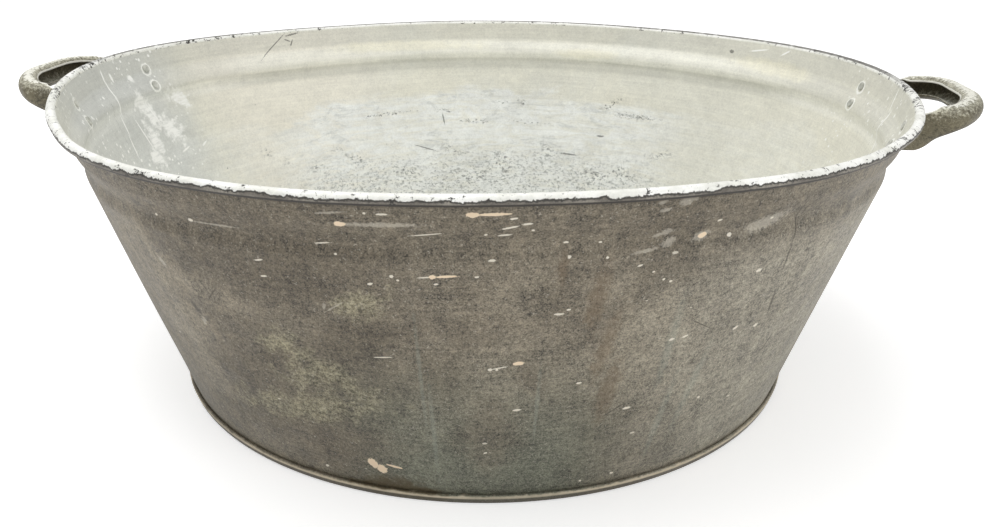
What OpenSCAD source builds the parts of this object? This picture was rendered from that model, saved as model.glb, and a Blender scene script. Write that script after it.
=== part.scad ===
// Round galvanized wash tub with a wired rim, two lock-seamed body sheets and two riveted handles.
// The origin is on the floor under the centre of the base, +Z is up and +X runs through the handles.

/* [Tub] */
// Diameter of the mouth over the wired rim
rim_d = 660; // [560:5:760]
// Diameter of the foot over the base seam, at floor level
base_d = 508; // [440:4:560]
// Height from the floor to the top of the rim
tub_h = 232; // [200:2:260]
// Thickness of the two body sheets
body_t = 0.9; // [0.7:0.1:1.2]
// Thickness of the bottom sheet
bottom_t = 0.9; // [0.7:0.1:1.2]

/* [Rim] */
// Diameter of the steel wire rolled into the rim
wire_d = 4.8; // [3.6:0.2:6]
// Play between the wire and the sheet rolled round it
wire_fit = 0.05; // [0.02:0.01:0.15]
// How far round the wire the sheet is rolled, in degrees
curl_angle = 306; // [280:2:308]

/* [Stiffening groove] */
// Distance from the rim's underside down to the groove's deepest line
groove_drop = 29.3; // [28:0.1:36]
// Depth of the groove, pressed inward
groove_depth = 3; // [1:0.5:4]
// Width of the groove's upper flank
groove_upper_w = 16; // [12:1:17]
// Width of the groove's lower flank
groove_lower_w = 11; // [8:1:18]

/* [Seams] */
// Width of each upright lock seam
lock_w = 9; // [7:0.5:14]
// Height of the double seam round the base
base_seam_h = 7; // [5:0.5:10]
// Play between the folded layers of a seam
seam_fit = 0.08; // [0.04:0.02:0.12]

/* [Bottom] */
// How far the middle of the bottom is pressed up off the floor
panel_rise = 3; // [0.5:0.5:5]
// Width of the flat ring that the tub stands on
foot_ring_w = 16; // [8:1:30]
// Width of the slope between the foot ring and the raised middle
panel_slope_w = 8; // [4:1:16]

/* [Handles] */
// Thickness of the handle sheet
handle_t = 1.2; // [1:0.1:1.6]
// How far a handle stands out beyond the rim
handle_stand = 50; // [44:1:60]
// Width of a handle over its two legs
handle_w = 152; // [136:2:166]
// Radius of the handle's two outer corners, over the grip, where its stand leaves room
handle_corner_r = 60; // [48:1:66]
// Diameter of the grip's hollow section
grip_h = 19; // [17:0.5:21]
// How far round the grip's section is curled, in degrees
grip_curl = 290; // [240:5:310]
// Height of the flat feet
foot_h = 27; // [25:0.5:29]
// Gap between the rim's underside and the upper edge of the feet
foot_gap = 4.5; // [3:0.1:6]
// Length of each foot along the wall
foot_len = 16; // [14:0.5:20]
// Bend radius where a leg turns into its foot
foot_bend_r = 5; // [4:0.5:7]
// Corner radius of the feet
foot_corner_r = 6; // [3:0.5:7]
// How much higher a leg runs than its foot once it is curled
grip_lift = 6; // [3:0.5:8]
// Further rise of the grip for each millimetre that it stands out
grip_slope = 0.19; // [0.1:0.01:0.22]
// How far each leg is drawn in where it meets its foot
leg_pinch = 9; // [4:0.5:11]
// Stretch over which a leg opens out from the curled grip to its flat foot
opening_run = 30; // [24:1:36]
// Play between a foot and the wall it is riveted to
foot_fit = 0.25; // [0.15:0.05:0.4]

/* [Rivets] */
// Shank diameter
rivet_d = 4; // [3:0.5:5]
// Diameter of the outer domed head
rivet_head_d = 7.6; // [7:0.2:8.4]
// Height of the outer domed head
rivet_head_h = 2.4; // [1.6:0.2:3]
// Diameter of the inner hammered head
rivet_tail_d = 7.2; // [6:0.2:8]
// Height of the inner hammered head
rivet_tail_h = 1.1; // [0.8:0.1:1.6]
// Distance between a foot's two rivets, measured upright
rivet_pitch = 14.5; // [13:0.5:15]
// Distance from a foot's free end to its rivets
rivet_edge = 8; // [7:0.5:9]
// Play between a shank and its hole
rivet_fit = 0.1; // [0.05:0.05:0.2]
// Play under each head
head_fit = 0.05; // [0.02:0.01:0.1]

/* [Hidden] */
$fn = 96;

// Colours of the weathered zinc
sheet_color = [0.62, 0.61, 0.57];
rim_color = [0.80, 0.80, 0.77];
handle_color = [0.52, 0.51, 0.45];
rivet_color = [0.70, 0.70, 0.67];

// Steps along a bend, the groove and the handle
bend_steps = 6;
curl_steps = 26;
groove_steps = 16;
section_steps = 18;
corner_steps = 22;
corner_crowding = 1.4;
foot_steps = 6;

// Rolled rim: the wire's centre lies inside the roll, and the wall's inner face is tangent to it
curl_inner_r = wire_d/2 + wire_fit;
rim_roll_r = curl_inner_r + body_t;
wire_ring_r = rim_d/2 - rim_roll_r;
wire_z = tub_h - rim_roll_r;

// Places of the base seam's layers, as distances outward from the wall's outer face
layer_step = body_t + seam_fit;
hem_u = seam_fit + bottom_t/2;
flange_u = 2*seam_fit + bottom_t + body_t/2;
skirt_u = 3*seam_fit + 1.5*bottom_t + body_t;
skirt_outer_u = skirt_u + bottom_t/2;

rim_under_z = tub_h - 2*rim_roll_r;

// Lean of the wall, from the vertical
rim_run = wire_ring_r - base_d/2;
lean = acos((curl_inner_r - skirt_outer_u)/norm([rim_run, wire_z])) - atan2(wire_z, rim_run);
wall_base_r = base_d/2 - skirt_outer_u/cos(lean);

// A point of the wall's own frame: u outward from its outer face, w up along it
function on_wall(u, w) = [wall_base_r + w*sin(lean) + u*cos(lean), w*cos(lean) - u*sin(lean)];
function wall_w(z, u = 0) = (z + u*sin(lean))/cos(lean);

// The groove: how far the wall is pressed in at w, and how fast that changes
groove_w = wall_w(rim_under_z - groove_drop);
function groove_side(w) = w > groove_w ? groove_upper_w : groove_lower_w;
function groove_share(w) = min(1, abs(w - groove_w)/groove_side(w));
function groove_in(w) = groove_depth*(1 + cos(180*groove_share(w)))/2;
function groove_tilt(w) = atan(
    -groove_depth*(PI/2)*sin(180*groove_share(w))*sign(w - groove_w)/groove_side(w));
groove_ws = [for (i = [0 : groove_steps]) let (s = 2*i/groove_steps - 1)
    groove_w + s*(s < 0 ? groove_lower_w : groove_upper_w)];

// Radius of the wall's outer face at a height, and its length of slope for each unit of height
function wall_w_at(z) = wall_w(z - groove_in(wall_w(z))*sin(lean));
function wall_r_at(z) = on_wall(-groove_in(wall_w_at(z)), wall_w_at(z))[0];
function wall_stretch_at(z) = 1/cos(lean - groove_tilt(wall_w_at(z)));

// Points of an arc
function arc(centre, r, from, to, steps) = [for (i = [0 : steps])
    let (a = from + (to - from)*i/steps) centre + r*[cos(a), sin(a)]];

// Outline of a sheet of thickness t that follows a path through its middle
function left_of(v) = [-v[1], v[0]]/norm(v);
function path_side(path, i) = let (
    n = len(path),
    before = i > 0 ? left_of(path[i] - path[i - 1]) : left_of(path[1] - path[0]),
    after = i < n - 1 ? left_of(path[i + 1] - path[i]) : before
) (before + after)/(1 + before*after);
function sheet_outline(path, t) = concat(
    [for (i = [0 : len(path) - 1]) path[i] + path_side(path, i)*t/2],
    [for (i = [len(path) - 1 : -1 : 0]) path[i] - path_side(path, i)*t/2]);

// Base seam: the body's edge turns up round the hem of the bottom sheet
seam_bend_r = (flange_u + body_t/2)/2;
seam_bend_u = flange_u - seam_bend_r;
seam_bend_w = wall_w(bottom_t + seam_fit + seam_bend_r + body_t/2, seam_bend_u);
hem_bend_r = (skirt_u - hem_u)/2;
hem_bend_u = skirt_u - hem_bend_r;
hem_bend_w = wall_w(base_seam_h - hem_bend_r - bottom_t/2, hem_bend_u);
flange_top_w = hem_bend_w + hem_bend_r - bottom_t/2 - seam_fit - body_t/2;
hem_end_w = seam_bend_w + seam_fit;

// One body sheet's section, from the base seam to the end of the rolled rim
curl_w = wall_w(wire_z, curl_inner_r);
body_path = concat(
    [[flange_u, flange_top_w]],
    arc([seam_bend_u, seam_bend_w], seam_bend_r, 0, -180, bend_steps),
    [for (w = groove_ws) [-body_t/2 - groove_in(w), w]],
    arc([curl_inner_r, curl_w], curl_inner_r + body_t/2, 180, 180 - curl_angle, curl_steps));
body_outline = [for (p = sheet_outline(body_path, body_t)) on_wall(p[0], p[1])];

// The bottom's section, from its raised middle to the end of its hem
skirt_corner_r = 2*bottom_t;
skirt_corner_x = wall_base_r + (skirt_u - skirt_corner_r
    + (bottom_t/2 + skirt_corner_r)*sin(lean))/cos(lean);
slope_end_r = skirt_corner_x - foot_ring_w;
hem_path = concat(
    arc([hem_bend_u, hem_bend_w], hem_bend_r, 0, 180, bend_steps),
    [[hem_u, hem_end_w]]);
bottom_path = concat(
    [[0, bottom_t/2 + panel_rise]],
    [for (i = [0 : bend_steps]) let (s = i/bend_steps)
        [slope_end_r - panel_slope_w*(1 - s), bottom_t/2 + panel_rise*(1 + cos(180*s))/2]],
    arc([skirt_corner_x, bottom_t/2 + skirt_corner_r], skirt_corner_r, -90, -lean, bend_steps),
    [for (p = hem_path) on_wall(p[0], p[1])]);

// Lock seams: four layers, numbered from the inside, between the base seam and the rim
lock_end_gap = 0.5;
lock_bottom_w = wall_w(base_seam_h + lock_end_gap, skirt_outer_u);
lock_top_w = curl_w - rim_roll_r - lock_end_gap;
lock_play = body_t + seam_fit;
beyond = rim_d;

// Handles: the middle line of the opened sheet runs inside the grip's outer face
grip_roll_r = (grip_h - handle_t)/2;
function roll_offset(curl, r) = curl < 1 ? 0 : r*(1 - sin(curl/2)/(curl*PI/360));
grip_offset = roll_offset(grip_curl, grip_roll_r);
line_reach = rim_d/2 + handle_stand - handle_t/2 - grip_offset;
line_half_w = handle_w/2 - handle_t/2 - grip_offset;
leg_y = line_half_w - leg_pinch;
foot_z = rim_under_z - foot_gap - foot_h/2;
foot_offset = foot_fit + handle_t/2;
shortest_leg = 2;
corner_room = line_reach - bend_centre(foot_z)[0] - shortest_leg;
line_corner_r = min(handle_corner_r - handle_t/2 - grip_offset, corner_room);
leg_start = [line_reach - line_corner_r, line_half_w - line_corner_r];
opening_x = rim_d/2 - rim_roll_r - wire_d/2;
function smooth(s) = let (c = max(0, min(1, s))) c*c*(3 - 2*c);

// The path of a handle at one height: from the grip's middle out to the end of a foot.
// Each place is [point, direction of the outer side, share of the way from leg to foot].
function foot_ring_r(z) = wall_r_at(z) + foot_offset*wall_stretch_at(z);
function bend_centre(z) = let (r = foot_ring_r(z) + foot_bend_r, y = leg_y + foot_bend_r)
    [sqrt(r*r - y*y), y];
function bend_turn(z) = atan2(bend_centre(z)[1], bend_centre(z)[0]);
function curled(x) = smooth((x - opening_x)/opening_run);
function drawn_in(x) = leg_pinch*(1 - curled(x));
function grip_place(s) = [[line_reach, leg_start[1]*s], 0, 0];
function corner_place(s) = let (
    a = 90*(1 - pow(1 - s, corner_crowding)),
    x = leg_start[0] + line_corner_r*cos(a)
) [[x, leg_start[1] + line_corner_r*sin(a)] - drawn_in(x)*[cos(a), sin(a)], a, 0];
function leg_place(s, z) = let (x = leg_start[0] + (bend_centre(z)[0] - leg_start[0])*s)
    [[x, line_half_w - drawn_in(x)], 90, 0];
function bend_place(s, z) = let (a = 90 - (90 - bend_turn(z))*s)
    [bend_centre(z) - foot_bend_r*[cos(a), sin(a)], a, s];
function foot_place(s, z) = let (a = bend_turn(z) + s*foot_len/foot_ring_r(z)*180/PI)
    [foot_ring_r(z)*[cos(a), sin(a)], a, 1];

// Stations along half a handle: [stretch, share of that stretch]
leg_steps = 3;
foot_corner_shares = [for (i = [0 : 4]) 1 - foot_corner_r*(1 - sin(90*i/4))/foot_len];
stations = concat(
    [for (i = [0 : 1]) [0, i/2]],
    [for (i = [0 : corner_steps]) [1, i/corner_steps]],
    [for (i = [1 : leg_steps]) [2, i/leg_steps]],
    [for (i = [1 : foot_steps]) [3, i/foot_steps]],
    [for (i = [1 : 2]) [4, foot_corner_shares[0]*i/3]],
    [for (s = foot_corner_shares) [4, s]]);
function place(station, z) =
    station[0] == 0 ? grip_place(station[1]*2)
    : station[0] == 1 ? corner_place(station[1])
    : station[0] == 2 ? leg_place(station[1], z)
    : station[0] == 3 ? bend_place(station[1], z)
    : foot_place(station[1], z);

// The section at a station: share of the full curl, rounding of the foot, level of its middle
function curl_share(station) = station[0] > 2 ? 0 : curled(place(station, foot_z)[0][0]);
function foot_trim(station) = station[0] < 4 ? 0
    : let (d = max(0, foot_corner_r - foot_len*(1 - station[1])))
        foot_corner_r - sqrt(max(0, foot_corner_r*foot_corner_r - d*d));
function section_level(station) = station[0] > 2 ? foot_z
    : foot_z + grip_lift*curl_share(station)
        + grip_slope*max(0, place(station, foot_z)[0][0] - opening_x);

// Height of a section's middle line, from the tall foot to the round grip
function section_h(station) = let (share = curl_share(station))
    (grip_h - handle_t)*share + (foot_h - 2*foot_trim(station))*(1 - share);

// One point of a handle: v runs from -1 at the lower edge to 1 at the upper one, side is 1 outside
function handle_point(station, v, side, half) = let (
    share = curl_share(station),
    curl = grip_curl*share,
    half_h = section_h(station)/2,
    r = share == 0 ? 0 : half_h/(curl > 180 ? 1 : sin(curl/2)),
    turn = v*curl/2,
    out = share == 0 ? 0 : roll_offset(curl, r) - r*(1 - cos(turn)),
    z = section_level(station) + (share == 0 ? v*half_h : r*sin(turn)),
    spot = place(station, z),
    stretch = 1 + spot[2]*(wall_stretch_at(z) - 1),
    reach = out + side*handle_t/2*cos(turn)*stretch,
    xy = spot[0] + reach*[cos(spot[1]), sin(spot[1])]
) [xy[0], half*xy[1], z + side*handle_t/2*sin(turn)];

handle_stations = concat(
    [for (i = [len(stations) - 1 : -1 : 1]) [stations[i], -1]],
    [for (s = stations) [s, 1]]);
section_vs = [for (i = [0 : section_steps]) 2*i/section_steps - 1];
ring_n = 2*(section_steps + 1);
handle_points = [for (s = handle_stations) each concat(
    [for (v = section_vs) handle_point(s[0], v, 1, s[1])],
    [for (i = [section_steps : -1 : 0]) handle_point(s[0], section_vs[i], -1, s[1])])];
last_ring = (len(handle_stations) - 1)*ring_n;
handle_faces = concat(
    [for (i = [0 : len(handle_stations) - 2], j = [0 : ring_n - 1]) each
        let (a = i*ring_n + j, b = i*ring_n + (j + 1)%ring_n, c = b + ring_n, d = a + ring_n)
        [[a, b, c], [a, c, d]]],
    [for (j = [0 : section_steps - 1]) each
        let (a = j, b = j + 1, c = ring_n - 2 - j, d = ring_n - 1 - j) [[a, c, b], [a, d, c]]],
    [for (j = [0 : section_steps - 1]) each
        let (a = last_ring + j, b = a + 1, c = last_ring + ring_n - 2 - j, d = c + 1)
        [[a, b, c], [a, c, d]]]);

// Rivets: four to a handle, set square to the wall
rivet_side_angle = bend_turn(foot_z) + (foot_len - rivet_edge)/foot_ring_r(foot_z)*180/PI;
rivet_zs = [foot_z + rivet_pitch/2, foot_z - rivet_pitch/2];
grip_of_rivet = foot_fit + handle_t;

// How far the wall's hollow at w stands proud of a flat head's middle, at the head's edges
function seat_rise(w) = max([for (d = [-rivet_head_d/2, rivet_head_d/2])
    groove_in(w) - groove_in(w + d) + d*tan(groove_tilt(w))]);
rivet_hole_d = rivet_d + 2*rivet_fit;

// Sets its children on the wall's outer face, pointing outward, at one rivet's place
module at_rivet(end, side, row) {
    w = wall_w_at(rivet_zs[row]);
    p = on_wall(-groove_in(w), w);
    rotate([0, 0, (end > 0 ? 0 : 180) + end*side*rivet_side_angle])
        translate([p[0], 0, p[1]])
            rotate([0, 90 + lean - groove_tilt(w), 0])
                children();
}

module rivet_holes(end, side) {
    for (row = [0, 1]) at_rivet(end, side, row)
        translate([0, 0, -2*rivet_head_d])
            cylinder(d = rivet_hole_d, h = 4*rivet_head_d);
}

module rivet(end, side, row) {
    dome_z = grip_of_rivet + head_fit + max(0, seat_rise(wall_w_at(rivet_zs[row])));
    tail_z = -body_t - head_fit;
    dome_r = (rivet_head_d*rivet_head_d/4 + rivet_head_h*rivet_head_h)/(2*rivet_head_h);
    dome_edge = asin(rivet_head_d/2/dome_r);
    dimple = rivet_tail_h/3;
    color(rivet_color) at_rivet(end, side, row) rotate_extrude() polygon(concat(
        [[0, tail_z - rivet_tail_h + dimple], [rivet_d/2 - dimple, tail_z - rivet_tail_h + dimple]],
        [[rivet_d/2, tail_z - rivet_tail_h], [rivet_tail_d/2 - dimple, tail_z - rivet_tail_h]],
        [[rivet_tail_d/2, tail_z - rivet_tail_h + dimple], [rivet_tail_d/2, tail_z]],
        [[rivet_d/2, tail_z], [rivet_d/2, dome_z]],
        arc([0, dome_z + rivet_head_h - dome_r], dome_r, 90 - dome_edge, 90, 2*bend_steps)));
}

// A band of the wall, from one distance off it to another, between two lines across the seam
module lock_band(u_from, u_to, y_from, y_to) {
    ws = concat([lock_bottom_w], groove_ws, [lock_top_w]);
    intersection() {
        rotate_extrude() polygon(concat(
            [for (w = ws) on_wall(u_from - groove_in(w), w)],
            [for (i = [len(ws) - 1 : -1 : 0]) on_wall(u_to - groove_in(ws[i]), ws[i])]));
        translate([0, y_from, 0]) cube([beyond, y_to - y_from, tub_h]);
    }
}

// The edge that stays inside: folded out and back over the other sheet's hook
module inner_hook() {
    lock_band(-body_t, 2*layer_step, lock_w/2 - body_t, lock_w/2);
    lock_band(2*layer_step - body_t, 2*layer_step, lock_play - lock_w/2, lock_w/2);
}

// The edge that steps out over the seam and hooks back under the other sheet's fold
module outer_hook() {
    step_y = lock_w/2 + seam_fit;
    lock_band(-body_t, 3*layer_step, step_y, step_y + body_t);
    lock_band(3*layer_step - body_t, 3*layer_step, -lock_w/2, step_y + body_t);
    lock_band(layer_step - body_t, 3*layer_step, -lock_w/2, body_t - lock_w/2);
    lock_band(layer_step - body_t, layer_step, -lock_w/2, lock_w/2 - lock_play);
}

// One body sheet: half the tub, with an inner hook at +X and an outer hook at -X
module body_sheet() {
    far_y = lock_w/2 + seam_fit;
    difference() {
        union() {
            intersection() {
                rotate_extrude() polygon(body_outline);
                linear_extrude(tub_h) polygon([
                    [0, lock_w/2], [beyond, lock_w/2], [beyond, -beyond],
                    [-beyond, -beyond], [-beyond, -far_y], [0, -far_y]]);
            }
            inner_hook();
            rotate([0, 0, 180]) outer_hook();
        }
        rivet_holes(1, -1);
        rivet_holes(-1, -1);
    }
}

module body_front() { color(sheet_color) body_sheet(); }

module body_back() { color(sheet_color) rotate([0, 0, 180]) body_sheet(); }

module bottom_panel() {
    color(sheet_color) rotate_extrude() polygon(sheet_outline(bottom_path, bottom_t));
}

module rim_wire() {
    color(rim_color) translate([0, 0, wire_z]) rotate_extrude()
        translate([wire_ring_r, 0]) circle(d = wire_d);
}

// A handle's blank is curled into a hollow grip and opened out flat towards its two feet
module handle(end) {
    color(handle_color) difference() {
        rotate([0, 0, end > 0 ? 0 : 180]) polyhedron(handle_points, handle_faces);
        rivet_holes(end, 1);
        rivet_holes(end, -1);
    }
}

module handle_left() { handle(-1); }

module handle_right() { handle(1); }

body_front();
body_back();
bottom_panel();
rim_wire();
handle_left();
handle_right();
rivet(-1, -1, 0);  // rivet_left_front_upper
rivet(-1, -1, 1);  // rivet_left_front_lower
rivet(-1, 1, 0);  // rivet_left_back_upper
rivet(-1, 1, 1);  // rivet_left_back_lower
rivet(1, -1, 0);  // rivet_right_front_upper
rivet(1, -1, 1);  // rivet_right_front_lower
rivet(1, 1, 0);  // rivet_right_back_upper
rivet(1, 1, 1);  // rivet_right_back_lower
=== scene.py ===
"""Dresses a round galvanized wash tub: dense sheet metal, worn zinc finishes and a plain studio."""
import math

import bmesh
import bpy
import numpy as np
from bpy.props import FloatProperty, FloatVectorProperty, PointerProperty
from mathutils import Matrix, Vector


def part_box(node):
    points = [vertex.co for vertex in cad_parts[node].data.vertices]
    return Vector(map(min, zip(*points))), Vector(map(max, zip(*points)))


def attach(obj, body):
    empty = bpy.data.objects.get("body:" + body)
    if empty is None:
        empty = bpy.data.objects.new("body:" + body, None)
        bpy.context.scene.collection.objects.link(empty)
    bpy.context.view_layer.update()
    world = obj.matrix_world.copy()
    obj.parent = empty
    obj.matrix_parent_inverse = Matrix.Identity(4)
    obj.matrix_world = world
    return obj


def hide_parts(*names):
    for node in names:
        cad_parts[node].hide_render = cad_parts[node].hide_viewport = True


bl_info = {
    "name": "Galvanized Wash Tub",
    "version": (1, 0, 0),
    "blender": (4, 5, 0),
    "location": "3D View > Sidebar > Wash Tub",
    "description": "Builds and finishes a round galvanized wash tub around its fixed frame",
    "category": "Object",
}

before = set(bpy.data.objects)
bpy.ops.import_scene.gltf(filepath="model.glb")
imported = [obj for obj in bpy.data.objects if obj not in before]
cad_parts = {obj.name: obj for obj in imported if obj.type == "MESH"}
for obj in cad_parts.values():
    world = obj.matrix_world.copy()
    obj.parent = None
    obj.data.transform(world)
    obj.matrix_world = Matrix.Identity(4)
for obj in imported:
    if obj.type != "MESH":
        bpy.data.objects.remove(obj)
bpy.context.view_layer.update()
rim_low, rim_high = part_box("body_front")
MM = 0.001


# Colours and sizes

def shade(red, green, blue):
    """A display colour in 0 to 255 as linear light."""
    def linear(value):
        value /= 255
        return value / 12.92 if value <= 0.04045 else ((value + 0.055) / 1.055) ** 2.4
    return tuple(linear(value) for value in (red, green, blue))


def length(name, description, millimetres):
    return FloatProperty(name=name, description=description, default=millimetres * MM,
                         min=0.0, unit="LENGTH", subtype="DISTANCE", precision=5)


def angle(name, description, degrees):
    return FloatProperty(name=name, description=description, default=math.radians(degrees),
                         subtype="ANGLE")


def colour(name, description, *display):
    return FloatVectorProperty(name=name, description=description, default=shade(*display),
                               size=3, min=0.0, max=1.0, subtype="COLOR")


class TubSizes(bpy.types.PropertyGroup):
    """Sizes of the sheets, seams, groove, handles and rivets"""
    rim_d: FloatProperty(name="Rim diameter", description="Over the wired rim", unit="LENGTH",
                         default=rim_high[0] - rim_low[0])
    tub_h: FloatProperty(name="Height", description="From the floor to the top of the rim",
                         unit="LENGTH", default=rim_high[2])
    base_d: length("Base diameter", "Over the base seam, at the floor", 508)
    sheet_t: length("Sheet thickness", "Of the body and the bottom", 0.9)
    wire_d: length("Wire diameter", "Of the wire rolled into the rim", 4.8)
    wire_fit: length("Wire play", "Between the wire and the sheet rolled round it", 0.05)
    seam_fit: length("Seam play", "Between the folded layers of a seam", 0.08)
    seam_h: length("Base seam height", "Of the double seam round the base", 7)
    lock_w: length("Lock seam width", "Of each upright seam", 9)
    groove_drop: length("Groove drop", "From the rim's underside to the groove", 29.3)
    groove_depth: length("Groove depth", "Pressed inward", 3)
    groove_upper_w: length("Groove upper flank", "Width of the slope above the groove", 16)
    groove_lower_w: length("Groove lower flank", "Width of the slope below the groove", 11)
    groove_tilt: length("Groove tilt", "How much higher the groove runs in front than behind", 3)
    panel_rise: length("Bottom rise", "Of the bottom's middle above the floor", 3)
    foot_ring_w: length("Foot ring width", "Of the flat ring that the tub stands on", 16)
    panel_slope_w: length("Bottom slope width", "Between the foot ring and the middle", 8)
    ripple: length("Ripple", "Of the wall's hand-worn unevenness", 0.45)
    handle_t: length("Handle thickness", "Of the handle sheet", 1.2)
    handle_stand: length("Handle stand", "How far a handle stands out beyond the rim", 50)
    handle_w: length("Handle width", "Over its two legs", 152)
    handle_corner_r: length("Handle corner", "Radius of the outer corners", 60)
    grip_h: length("Grip height", "Of the hollow section", 19)
    foot_h: length("Foot height", "Of the flat feet", 27)
    foot_gap: length("Foot gap", "Between the rim and the feet", 4.5)
    foot_len: length("Foot length", "Along the wall", 16)
    foot_bend_r: length("Foot bend", "Where a leg turns into its foot", 5)
    foot_corner_r: length("Foot corners", "Radius of the feet's corners", 6)
    foot_fit: length("Foot play", "Between a foot and the wall", 0.25)
    leg_pinch: length("Leg pinch", "How far each leg is drawn in at its foot", 9)
    opening_run: length("Opening run", "Over which the curled grip opens out", 30)
    grip_lift: length("Grip lift", "Of a leg above its foot, once it is curled", 6)
    shortest_leg: length("Shortest leg", "Between a handle's corner and its foot bend", 2)
    rivet_d: length("Rivet shank", "Diameter of the shanks", 4)
    rivet_head_d: length("Rivet head", "Diameter of the outer domes", 7.6)
    rivet_head_h: length("Rivet head height", "Of the outer domes", 2.4)
    rivet_tail_d: length("Rivet tail", "Diameter of the hammered inner heads", 7.2)
    rivet_tail_h: length("Rivet tail height", "Of the hammered inner heads", 1.1)
    rivet_pitch: length("Rivet pitch", "Between a foot's two rivets", 14.5)
    head_fit: length("Head play", "Under each rivet head", 0.05)
    rivet_edge: length("Rivet edge", "From a foot's end to its rivets", 8)
    grip_curl: angle("Grip curl", "How far round the grip is curled", 290)
    grip_slope: FloatProperty(name="Grip slope", description="Rise for each unit of reach",
                              default=0.19)
    curl_angle: angle("Rim curl", "How far the sheet is rolled", 306)


class TubColours(bpy.types.PropertyGroup):
    """Colours of the worn zinc, its stains, its paint, and the light and shade painted on it"""
    outside: colour("Outside", "Weathered zinc outside", 137, 129, 113)
    # Also painted shade below the rim and on the left side.
    outside_dark_and_shade: colour("Outside dark", "Darker clouds outside", 104, 96, 82)
    outside_green: colour("Outside green", "Damp grey-green near the foot", 104, 107, 93)
    # Paler toward the right: a bleached tone and painted light.
    outside_bleached_and_lit: colour("Outside pale", "Bleached grey toward the right", 152, 147, 133)
    # Painted glints: fine bright points of caught light.
    outside_glint: colour("Outside glint", "Fine worn points", 186, 180, 166)
    outside_grime: colour("Outside grime", "Fine dark points", 58, 53, 46)
    lichen: colour("Lichen", "Yellow-green stain", 143, 137, 108)
    lichen_pale: colour("Lichen crust", "Pale crust on the stain", 184, 180, 158)
    inside: colour("Inside", "Pale zinc inside", 218, 218, 208)
    inside_cool: colour("Inside cool", "Greyer zinc at the left", 206, 208, 204)
    inside_warm: colour("Inside warm", "Creamy zinc", 234, 230, 217)
    inside_green: colour("Inside green", "Greenish grey to the right", 226, 224, 210)
    lime: colour("Limescale", "Chalky water marks", 236, 238, 235)
    lime_pit: colour("Limescale pits", "Grey pits in the limescale", 108, 110, 108)
    # Also laid on the rim as the painted shadow under the coat's edge.
    pits: colour("Pits", "Dark pits and chips", 60, 58, 54)
    rim: colour("Rim", "White zinc oxide on the rim", 250, 250, 245)
    rim_side: colour("Rim side", "Grey metal under the rim's coat", 140, 135, 125)
    # Painted shadow under the rim and on the rim's underside.
    rim_shadow: colour("Rim gap", "Grime under the rim", 46, 42, 38)
    handle: colour("Handle", "Olive grey zinc", 112, 106, 86)
    # Painted light on the handle's upward faces.
    handle_top_light: colour("Handle pale", "Worn high spots", 196, 194, 176)
    # Grime specks, and painted shade on the handle's downward faces.
    handle_grime_and_shade: colour("Handle dark", "Grime in the hollows", 66, 61, 50)
    paint: colour("Paint", "Cream paint drips", 234, 213, 184)
    splash: colour("Splash", "Pale specks", 228, 221, 205)
    rust: colour("Rust", "Brown stains", 80, 68, 44)
    seam_edge: colour("Seam edge", "Worn fold of the base seam", 204, 192, 168)
    # Grime and painted shade under the base seam's fold.
    seam_grime_and_shade: colour("Seam dark", "Grime under the fold", 80, 74, 64)
    wire: colour("Wire", "Rim wire", 120, 118, 112)
    floor: FloatVectorProperty(name="Floor", description="Floor and backdrop",
                               default=(0.92, 0.92, 0.92), size=3, subtype="COLOR")


# The tub's shape

# Out of round at the rim: waves round the tub, millimetres, and degrees from a handle to a crest
OUT_OF_ROUND = ((2, 6.2, 13.5), (3, 3.1, 37.2), (4, 2.4, -19.1), (5, 4.8, 24.5))


def smooth(share):
    """Eases a share from 0 to 1, level outside it."""
    share = np.clip(share, 0, 1)
    return share * share * (3 - 2 * share)


def round_tub(radius, angle, z):
    return np.column_stack([radius * np.cos(angle), radius * np.sin(angle), z])


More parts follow.
